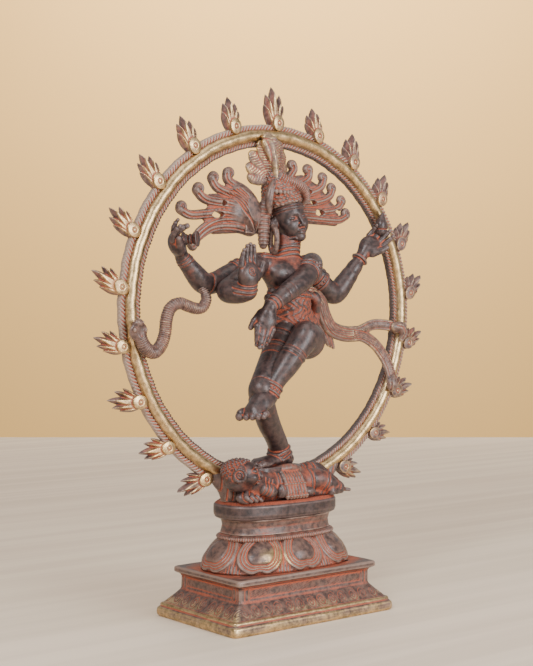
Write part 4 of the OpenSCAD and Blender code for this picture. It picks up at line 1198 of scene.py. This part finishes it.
def build_leg_standing():
    clay = Clay((-46, -36, 91), (22, 12, 192), 0.48)
    clay.chain([(2, -5.5, 179, 10.5), (-5, -9.5, 167, 8.8), (-15.5, -14, 154.5, 7.8),
                (-27, -19, 142, 6.8)], 3, per=3)
    clay.chain([(-27, -19, 142, 6.8), (-23.5, -16, 134, 6.6), (-14.5, -10.5, 121, 6.3),
                (-4.5, -5.5, 110, 5.5), (1.6, -2, 102.5, 5.3)], 3, per=3)
    clay.taper((1.6, -2, 102.5), (6, -0.5, 97), 5.0, 4.6, 2)
    foot(clay, (9.0, -2.4, 96.0), (-25.5, -8.0, 96.2), (0, -0.15, 1), 13.5, 1)
    clay.chain([(8, -2.6, 94.2, 2.4), (-8, -5.2, 94.2, 2.4), (-20, -7.2, 94.2, 2.4)], 1.5)
    bangle(clay, (2.2, -2.0, 101.6), (0.35, 0.2, -1), 9.5, (1.3, 1.0, 1.3), 2.0, 1.0)
    for k in range(6):
        clay.blob((3 + 6.2 * math.cos(k * 1.05), -1.8 + 6.2 * math.sin(k * 1.05), 98.4), (1.3, 1.3, 1.5),
                  0.5)
    axis = unit(v3(-15, -9.5, -16))
    for k in range(5):
        clay.ring(v3(-4, -8, 172) + axis * (2.2 * k + 3.4 * (k // 2)), axis, 15, 0.6,
                  0.35 if k % 2 else -0.35)
    clay.ring((-25.5, -17, 144), (-15, -9.5, -18), 12, 0.6, -0.3)
    clay.ring((-27.5, -17.6, 138), (14, 9, -18), 11, 0.7, -0.5)
    clay.ring((-25.8, -16.5, 135.6), (14, 9, -18), 11, 0.7, 0.6)
    return clay


def build_leg_raised():
    clay = Clay((-56, -42, 112), (34, 10, 186), 0.45)
    clay.chain([(21, -3, 172, 10.8), (15, -12, 170.5, 10.6), (9.5, -19, 171.5, 9.4),
                (4, -24.2, 174.2, 7.8)], 3, per=3)
    clay.chain([(4, -24.2, 174.2, 7.6), (-3, -25, 166.5, 7.0), (-11, -24, 156.5, 6.7),
                (-18.5, -22.5, 147, 5.2), (-22.5, -22, 140.5, 4.7)], 3, per=3)
    clay.blob((2, -27.5, 176), (5.2, 4.6, 5.4), 3)
    clay.taper((-22.5, -22, 140.5), (-23.5, -21.5, 136), 4.7, 4.8, 2)
    foot(clay, (-22.5, -20.5, 137.5), (-43.5, -26.5, 125.2), (-0.42, -0.20, 0.89), 19.5, -1)
    clay.chain([(-23, -21.5, 138, 4.9), (-30, -23, 134.5, 5.6), (-36, -24.5, 130, 5.0)], 3)
    bangle(clay, (-21.6, -22, 141.6), (-0.55, 0.02, -0.82), 8.8, (1.0, 0.8, 1.0), 2.0, 0.9)
    axis = unit(v3(-14, -17, 0))
    for k in range(3):
        clay.ring(v3(13, -15, 171) + axis * 3.7 * k, axis, 16, 0.6, 0.4 if k % 2 else -0.25)
    shin = unit(v3(-0.62, 0.02, -0.78))
    for k in range(3):
        clay.ring(v3(-5.5, -25, 164.5) + shin * 2.2 * k, shin, 10, 0.5, (-0.28, 0.45, -0.28)[k])
    clay.ridge([(-4, -31.5, 168), (-12, -30.4, 157), (-19, -27, 147)], 1.4, 0.5, per=4)
    clay.ridge([(-8, -31, 163), (-9, -30, 158), (-15, -29, 154), (-17, -28, 149)], 0.5, -0.4, per=4)
    return clay


def build_drum():
    c = v3(-70.5, -7, 231)
    axis = unit(v3(0.62, -0.78, 0.05))
    clay = Clay(c - 9, c + 9, 0.3)
    clay.taper(c - axis * 4.4, c, 4.2, 2.2, 0)
    clay.taper(c, c + axis * 4.4, 2.2, 4.2, 0.8)
    cut = lambda x, y, z: np.abs((x - c[0]) * axis[0] + (y - c[1]) * axis[1] + (z - c[2]) * axis[2]) - 4.6
    clay.d = np.maximum(clay.d, cut(*clay.window(c - 9, c + 9)[1])).astype(np.float32)
    for s in (-1, 1):
        clay.ring(c + axis * 4.0 * s, axis, 6, 0.7, 0.7)
    clay.ring(c, axis, 4, 0.8, 0.9)
    return clay


def build_hand_flame():
    clay = Clay((76, -16, 236), (92, 0, 258), 0.32)
    clay.blob((84, -8, 242), (4.2, 3.4, 2.6), 0.5)
    clay.chain([(83.5, -8, 242, 3.2), (83.2, -8.2, 246.5, 3.5), (84, -8, 250.5, 2.4),
                (85.6, -7.8, 254.6, 0.6)], 0.5, per=4)
    clay.chain([(85.5, -8.4, 241, 2.2), (87.2, -8.4, 245, 1.7), (87.4, -8.2, 249, 0.6)], 0.2, per=3)
    clay.ring((84, -8, 243.6), (0, 0, 1), 5, 0.5, -0.5)
    return clay


# ---- dwarf, snake and cloth -----------------------------------------------------------------


def slab_cut(clay):
    top = node_box("top_slab")[1][2]
    low = clay.low
    clay.carve(low - 1, (200, 200, top + 0.6), lambda x, y, z: z - top + 0.1 + 0 * x + 0 * y)


def build_dwarf_body():
    clay = Clay((-42, -26, 70), (54, 12, 97), 0.45)
    clay.chain([(-27, -11, 83, 8.5), (-14, -8, 82.5, 9.3), (2, -6.5, 82.5, 9.4), (15, -6, 81, 8.4)], 3,
               per=3)
    clay.chain([(-30, -9, 76, 4.5), (0, -10, 76, 5.5), (30, -9, 75.5, 5.0), (43, -6, 75, 3.6)], 3)
    clay.chain([(14, -8, 82, 7.0), (25, -11.5, 83, 6.0), (34, -13, 79, 4.8)], 2, per=3)
    clay.chain([(34, -13, 79, 4.8), (42, -12, 76, 3.8), (33, -15.5, 75, 3.2)], 1.5, per=3)
    clay.chain([(14, -2, 83, 6.6), (24, 0, 86.5, 5.6), (32, -2, 87, 4.6), (40, -3, 81, 4.4),
                (46, -5, 77, 3.6)], 2, per=3)
    for k in range(4):
        clay.taper((44 + 0.3 * k, -13 + 2.1 * k, 75.4), (49.4 - 0.4 * k, -14.5 + 2.2 * k, 74.6), 1.4, 1.1,
                   0.3)
    clay.chain([(-27, -15, 84, 4.6), (-25, -18.5, 81.5, 4.2)], 1.5)
    clay.blob((-20.5, -18.6, 80), (6.0, 4.4, 4.4), 0.5,
              np.array([unit(v3(0.9, 0, -0.35)), v3(0, 1, 0), unit(v3(0.35, 0, 0.9))]))
    clay.blob((-10.5, -18.8, 79), (3.8, 3.4, 4.4), 0.4)
    clay.blob((11.5, -18, 77), (4.6, 3.0, 3.0), 0.5)
    clay.chain([(-34, -12, 80, 3.0), (-38, -13, 76.5, 2.6), (-36, -16, 74.6, 2.0)], 0.8, per=3)
    for k in range(3):
        clay.chain([(-35 + 4 * k, -15, 80, 1.5), (-37 + 4 * k, -17.5, 77, 1.7),
                    (-34 + 4 * k, -18.5, 74.5, 1.2)], 0.3, per=3)
    clay.chain([(-30, -2, 82, 4.6), (-36, 1, 77, 3.8), (-32, -2, 74.5, 3.2)], 1.5, per=3)
    for k, x in enumerate((-25, -22.5, -20)):
        clay.ring((x, -18, 82 - k), (0.9, -0.2, -0.4), 6, 0.5, -0.4)
    for c, axis, r in (((19, -8, 81), (1, -0.3, 0.1), 13), ((29, -12, 81.5), (0.9, -0.2, -0.35), 8),
                       ((36, -8, 79), (0.9, 0.3, -0.5), 9),
                       ((28, -1, 87), (0.9, -0.2, 0.3), 7), ((-14, -9, 84), (1, 0.2, -0.1), 13)):
        clay.ring(c, axis, r, 0.6, 0.4)
        clay.ring(v3(*c) + unit(v3(*axis)) * 1.8, axis, r, 0.6, -0.5)
    slab_cut(clay)
    return clay


def build_dwarf_head():
    h = Head((-38.0, -14, 91.6), (0.10, 0.05, 1), (0.62, -0.78, 0.10))
    clay = Clay((-56, -30, 77), (-20, 4, 106), 0.3)
    clay.blob(h.at(0, -1.0, 0.8), (9.6, 11.2, 7.4), 1, h.turn)
    clay.blob(h.at(0, 5.2, -3.0), (7.6, 6.2, 4.2), 3, h.turn)
    for s in (-1, 1):
        clay.blob(h.at(s * 4.2, 8.6, -2.4), (2.8, 2.6, 2.4), 1.5, h.turn)
        clay.carve(h.at(s * 3.4, 10.6, 1.4) - 4, h.at(s * 3.4, 10.6, 1.4) + 4,
                   ball_shape(h.at(s * 3.4, 10.9, 1.4), v3(2.4, 1.4, 1.5), h.turn), 1.0)
        clay.blob(h.at(s * 3.6, 8.6, 1.3), (2.3, 2.1, 1.5), 0.2, h.turn)
        clay.blob(h.at(s * 3.7, 9.8, 3.6), (3.2, 1.1, 0.8), 0.6, h.turn)
        clay.blob(h.at(s * 8.4, 1.5, 0.8), (1.8, 3.2, 4.0), 0.6, h.turn)
        for r, thick in ((3.6, 0.95), (1.6, 0.8)):
            loop = [h.at(s * 9.6, 1.5 + r * math.cos(t), -1.5 + r * math.sin(t))
                    for t in np.linspace(0, 2 * math.pi, 15)]
            for p, q in zip(loop[:-1], loop[1:]):
                clay.taper(p, q, thick, thick, 0.2)
        clay.blob(h.at(s * 9.8, 1.5, -1.5), (0.9, 0.9, 0.9), 0.2)
    clay.taper(h.at(0, 10.4, 2.2), h.at(0, 12.2, -1.2), 0.9, 1.5, 1.0)
    clay.blob(h.at(0, 11.0, -4.0), (3.2, 1.4, 0.8), 0.4, h.turn)
    clay.blob(h.at(0, 10.7, -5.6), (2.6, 1.3, 0.9), 0.4, h.turn)
    golden = math.pi * (3 - math.sqrt(5))
    for k in range(190):
        up = 1 - (k + 0.5) / 190 * 1.7
        r = math.sqrt(max(0, 1 - up * up))
        x, y = r * math.cos(k * golden), r * math.sin(k * golden)
        if 0.55 * up - y < 0.02 or (up < 0.1 and y > -0.30):
            continue
        clay.blob(h.at(9.8 * x, 11.4 * y - 1.0, 7.6 * up + 0.8), (0.9, 0.9, 0.9), 0.2)
    clay.taper(h.at(2, -3, -5), (-28, -11, 84.5), 6.5, 6.5, 3)
    slab_cut(clay)
    return clay


def build_dwarf_cloth():
    clay = Clay((-14, -25, 71), (20, -6, 96), 0.36)
    clay.chain([(-8, -11.5, 91, 2.4), (0, -12.8, 91.8, 2.6), (8, -12, 90.5, 2.4)], 1, per=3)
    for k in range(-3, 4):
        x = 0.6 + 2.0 * k
        clay.chain([(x - 2, -12.5, 91, 1.4), (x - 1 + 0.2 * k, -17.0, 86, 1.5),
                    (x + 0.4 * k, -19.0, 79, 1.5), (x + 0.5 * k + 0.4, -19.6, 74.6, 1.3)], 0.25, per=3)
    clay.ring((2, -17, 81.5), (0, 0.5, 1), 14, 0.6, 0.45)
    clay.ring((2, -19, 75), (0, 0.2, 1), 14, 0.6, 0.45)
    slab_cut(clay)
    return clay


def build_foot_pad():
    high = node_box("foot_pad")[1]
    clay = Clay((-30, -27, 85), (22, 12, 95), 0.42)
    top, bottom = high[2] + 0.3, 86.6
    a, b = v3(6.2, -5.2, 0), v3(-17.8, -8.6, 0)
    plan = taper_shape(a, b, 8.2, 6.8)
    clay.join((-30, -27, 85), (22, 12, 95), lambda x, y, z: np.maximum(
        plan(x, y, 0 * z) + 0.05 * (z - 90) ** 2, np.maximum(z - top + 0.2, bottom - z)), 0)
    return clay


def build_cobra():
    clay = Clay((-118, -14, 158), (-52, 3, 208), 0.36)
    path = [(-60, -3, 203.5, 2.0), (-58, -5.5, 197, 3.0), (-60.5, -6, 191.5, 3.2), (-66, -6, 190.3, 3.3),
            (-72, -6, 191.8, 3.4),
            (-78, -6, 193.3, 3.4), (-84, -6, 190.5, 3.5), (-87, -6, 184, 3.6), (-88, -6, 176, 3.6),
            (-91, -6, 168.6, 3.7),
            (-97, -7, 164.8, 3.8), (-103.5, -8, 168, 3.9), (-107, -8.8, 173.5, 3.6)]
    clay.chain(path, 0.4, per=4)
    clay.cord(spline([p[:3] for p in path], 4), 5.0, 1.25, 0.22)
    hood = v3(-108.6, -9.2, 177)
    turn = np.array([unit(v3(1, 0, 0.25)), unit(v3(0, 1, 0.1)), unit(v3(-0.25, -0.1, 1))])
    clay.blob(hood, (5.9, 2.5, 5.6), 1.2, turn)
    clay.blob(hood + v3(-0.6, -0.9, 4.6), (3.2, 2.6, 2.6), 1.2, turn)
    clay.carve(hood - 4, hood + 4, ball_shape(hood + v3(0, -2.9, -0.2), v3(1.7, 0.8, 3.4), turn), 0.5)
    for s in (-1, 1):
        clay.blob(hood + v3(s * 1.5, -3.0, 5.2), (0.7, 0.6, 0.7), 0.1)
        clay.blob(hood + v3(s * 3.6, -1.8, 0.8), (1.3, 1.3, 1.6), 0.4)
    return clay


def ribbon(clay, path, width, flat=1.5):
    """A grooved cloth ribbon through (x, y, z) points, broad side to the front."""
    line = spline(path, 5)
    for p, q in zip(line[:-1], line[1:]):
        clay.taper(p, q, width, width, 0.4, (FRONT, flat))
    for off in (-0.62, -0.31, 0, 0.31, 0.62):
        side = []
        for p, q in zip(line[:-1], line[1:]):
            way = unit(q - p)
            side.append((p[0] - off * width * way[2], p[2] + off * width * way[0]))
        groove(clay, side, 0.6, -0.8)


def build_sash():
    clay = Clay((14, -14, 132), (112, 8, 206), 0.45)
    ribbon(clay, [(18, 1, 198), (28, -0.5, 200.5), (36, -1, 195.5), (40.5, -0.5, 186), (47, 0, 178),
                  (58, 0, 174.6), (69, -0.5, 174.5)], 5.2, 2.1)
    ribbon(clay, [(66, -0.5, 174.6), (74, -1, 177.5), (83, -1.5, 180.5), (93, -3.5, 180.2),
                  (100, -6.5, 178.3)], 3.6, 1.7)
    clay.chain([(97, -6.5, 179, 3.0), (102.5, -7.4, 178.8, 3.6), (104.8, -7.6, 174.6, 3.1),
                (103, -7.2, 170.6, 1.8)], 0.5, per=3, squash=(FRONT, 1.2))
    groove(clay, [(98, 180), (102.5, 179), (104.8, 174.6), (103, 171)], 0.6, -0.6)
    ribbon(clay, [(65, -0.5, 174.5), (75, -1, 172.6), (84, -2, 167.2), (91, -3.5, 158.5),
                  (94.5, -5.5, 149), (94.8, -6.6, 140.5)], 4.0, 1.8)
    clay.chain([(94.8, -6.4, 145, 3.0), (95.2, -6.9, 140.5, 4.0), (94.4, -6.4, 137.4, 2.0)], 0.5, per=3,
               squash=(FRONT, 1.2))
    groove(clay, [(92.5, 142), (92.8, 137)], 0.5, -0.6)
    groove(clay, [(97, 142), (96.8, 137)], 0.5, -0.6)
    return clay


def build_hip_tail():
    clay = Clay((16, -8, 160), (56, 12, 196), 0.4)
    for shift in (-2.2, 0, 2.2):
        clay.chain([(22, 2, 188 + shift, 3.4), (33, 2, 185 + shift, 2.4),
                    (40 + shift * 0.6, 2, 179.5 + shift * 0.8, 2.1),
                    (45 + shift, 2, 172, 1.8), (48 + shift, 2, 166.5 - 0.4 * shift, 1.2)], 0.3, per=4)
    return clay


def torso_rust(q):
    return 0.40 + 0.36 * step(203, 199, q[:, 2]) + 0.25 * step(221, 226, q[:, 2])


def head_rust(q):
    return 0.10 + 0.5 * step(236, 230, q[:, 2])


def build_figure():
    pieces = (
        ("Torso", build_torso, DARK, "dark_patina", "torso"),
        ("Head", build_head, DARK, "dark_patina", "head"),
        ("Crown", build_crown, BROWN, "brown_patina", "crown"),
        ("Feather_fan", build_fan, WORN, "worn_brass", "feather_fan"),
        ("Crown_post", build_post, WORN, "worn_brass", "crown_post"),
        ("Ear_pendants", build_pendants, BROWN, "brown_patina", "ear_pendants"),
        ("Hair_left", build_hair_left, BROWN, "brown_patina", "hair_left"),
        ("Hair_right", build_hair_right, BROWN, "brown_patina", "hair_right"),
        ("Hair_bridge", build_bridge, BROWN, "brown_patina", "hair_bridge"),
        ("Arm_drum", build_arm_drum, DARK, "dark_patina", "arm_drum"),
        ("Arm_flame", build_arm_flame, DARK, "dark_patina", "arm_flame"),
        ("Arm_blessing", build_arm_blessing, DARK, "dark_patina", "arm_blessing"),
        ("Arm_crossing", build_arm_crossing, DARK, "dark_patina", "arm_crossing"),
        ("Drum", build_drum, DARK, "dark_patina", "drum"),
        ("Hand_flame", build_hand_flame, DARK, "dark_patina", "hand_flame"),
        ("Leg_standing", build_leg_standing, DARK, "dark_patina", "leg_standing"),
        ("Leg_raised", build_leg_raised, DARK, "dark_patina", "leg_raised"),
        ("Dwarf_body", build_dwarf_body, DARK, "dark_patina", "dwarf_body"),
        ("Dwarf_head", build_dwarf_head, DARK, "dark_patina", "dwarf_head"),
        ("Dwarf_cloth", build_dwarf_cloth, BROWN, "brown_patina", "dwarf_cloth"),
        ("Foot_pad", build_foot_pad, DARK, "dark_patina", "foot_pad"),
        ("Cobra", build_cobra, BROWN, "brown_patina", "cobra"),
        ("Sash", build_sash, BROWN, "brown_patina", "sash"),
        ("Hip_tail", build_hip_tail, BROWN, "brown_patina", "hip_tail"),
    )
    rust = {"torso": torso_rust, "dwarf_body": 0.60, "dwarf_cloth": 0.66, "dwarf_head": 0.45,
            "foot_pad": 0.45,
            "arm_flame": 0.24, "leg_raised": 0.26, "leg_standing": 0.38, "arm_drum": 0.36,
            "arm_crossing": 0.24, "arm_blessing": 0.22, "hair_bridge": 0.0, "head": head_rust,
            "hip_tail": 0.5, "sash": 0.18, "cobra": 0.12, "crown": 0.34, "hair_left": 0.32,
            "hair_right": 0.36}
    wear_and_light = {"feather_fan": 0.36, "crown_post": 0.40, "sash": 0.22, "cobra": 0.14, "hip_tail": 0.1,
           "drum": 0.0}
    for name, build, material, slot, node in pieces:
        add_piece(name, [build().mesh()], material, [node], wear_and_light.get(node, 0.0), rust.get(node, 0.3))


# ---- set: camera, floor and lights -------------------------------------------------------


def build_set():
    scene = bpy.context.scene
    cam = bpy.data.cameras.new("Camera")
    cam.lens, cam.sensor_width = 70.6, 36.0
    camera = bpy.data.objects.new("Camera", cam)
    scene.collection.objects.link(camera)
    camera.location = (-0.5189, -0.6337, 0.1825)
    look = Vector((0.628, 0.778, -0.0087))
    camera.rotation_euler = look.to_track_quat("-Z", "Y").to_euler()
    scene.camera = camera

    ahead, right = Vector((0.628, 0.778, 0)), Vector((0.778, -0.628, 0))
    eye = Vector((camera.location.x, camera.location.y, 0))

    def sheet(name, corners, low_tone, high_tone, rough, stretch, glossy=True):
        mesh = bpy.data.meshes.new(name)
        mesh.from_pydata([eye + ahead * f + right * r + Vector((0, 0, z)) for f, r, z in corners], [],
                         [(0, 1, 2, 3)])
        ob = bpy.data.objects.new(name, mesh)
        scene.collection.objects.link(ob)
        material = bpy.data.materials.new(name)
        n = Nodes(material)
        grain = n.new("ShaderNodeTexNoise")
        place = n.new("ShaderNodeMapping")
        place.inputs["Rotation"].default_value = (0, 0, math.radians(38.9))
        place.inputs["Scale"].default_value = stretch
        n.link(n.new("ShaderNodeTexCoord").outputs["Object"], place.inputs["Vector"])
        n.link(place.outputs["Vector"], grain.inputs["Vector"])
        grain.inputs["Scale"].default_value = 1.0
        grain.inputs["Detail"].default_value = 5.0
        n.link(n.mix(n.fade(grain.outputs["Fac"], 0.35, 0.65), low_tone, high_tone),
               n.shader.inputs["Base Color"])
        n.shader.inputs["Roughness"].default_value = rough
        mesh.materials.append(material)
        ob.visible_glossy = glossy

    sheet("Floor", [(-1, -3, 0), (-1, 3, 0), (2.06, 3, 0), (2.06, -3, 0)],
          (0.74, 0.62, 0.49), (0.84, 0.72, 0.58), 0.5, (1.5, 40, 1))
    sheet("Wall", [(4.2, -5, -2), (4.2, 5, -2), (4.2, 5, 4), (4.2, -5, 4)],
          (0.85, 0.52, 0.165), (0.87, 0.54, 0.185), 0.9, (0.4, 0.4, 0.4), glossy=False)

    world = bpy.data.worlds.new("World")
    scene.world = world
    world.use_nodes = True
    world.node_tree.nodes["Background"].inputs["Color"].default_value = (1.0, 0.95, 0.90, 1)
    world.node_tree.nodes["Background"].inputs["Strength"].default_value = 0.50

    def lamp(name, place, aim, power, size, colour):
        light = bpy.data.lights.new(name, "AREA")
        light.energy, light.size, light.color = power, size, colour
        ob = bpy.data.objects.new(name, light)
        ob.location = place
        ob.rotation_euler = (Vector(aim) - Vector(place)).to_track_quat("-Z", "Y").to_euler()
        scene.collection.objects.link(ob)

    lamp("Key", (-1.2, -0.7, 1.0), (0, 0, 0.18), 17, 0.45, (0.98, 0.98, 1.0))
    lamp("Front", (0.35, -1.5, 0.5), (0, 0, 0.15), 21, 0.7, (0.98, 0.98, 1.0))
    lamp("Rim", (1.0, 0.4, 0.8), (0, 0, 0.18), 0.8, 0.8, (1.0, 0.95, 0.88))
    lamp("Window", (-0.3, -1.5, 0.25), (0, 0, 0.16), 5, 0.9, (0.90, 0.96, 1.0))
    lamp("Top", (-0.1, -0.2, 1.4), (0, 0, 0.15), 6, 1.0, (1.0, 0.98, 0.95))
    lamp("Wall_wash", (1.6, 1.8, 2.0), (2.6, 3.0, 0.5), 105, 2.0, (1.0, 0.93, 0.82))


build_set()
build_plinth()
build_lotus()
build_arch()
build_flames()
build_figure()
PLAIN = antique("plain_brass", (0.42, 0.30, 0.14), (0.30, 0.21, 0.10), (0.50, 0.38, 0.20), BRASS,
                (0.2, 0.12, 0.06), 0.38)
for part, sides in (("tie_rod", 32), ("tie_washer", 48), ("tie_nut", 6)):
    turned(part.capitalize(), part, sides, PLAIN)
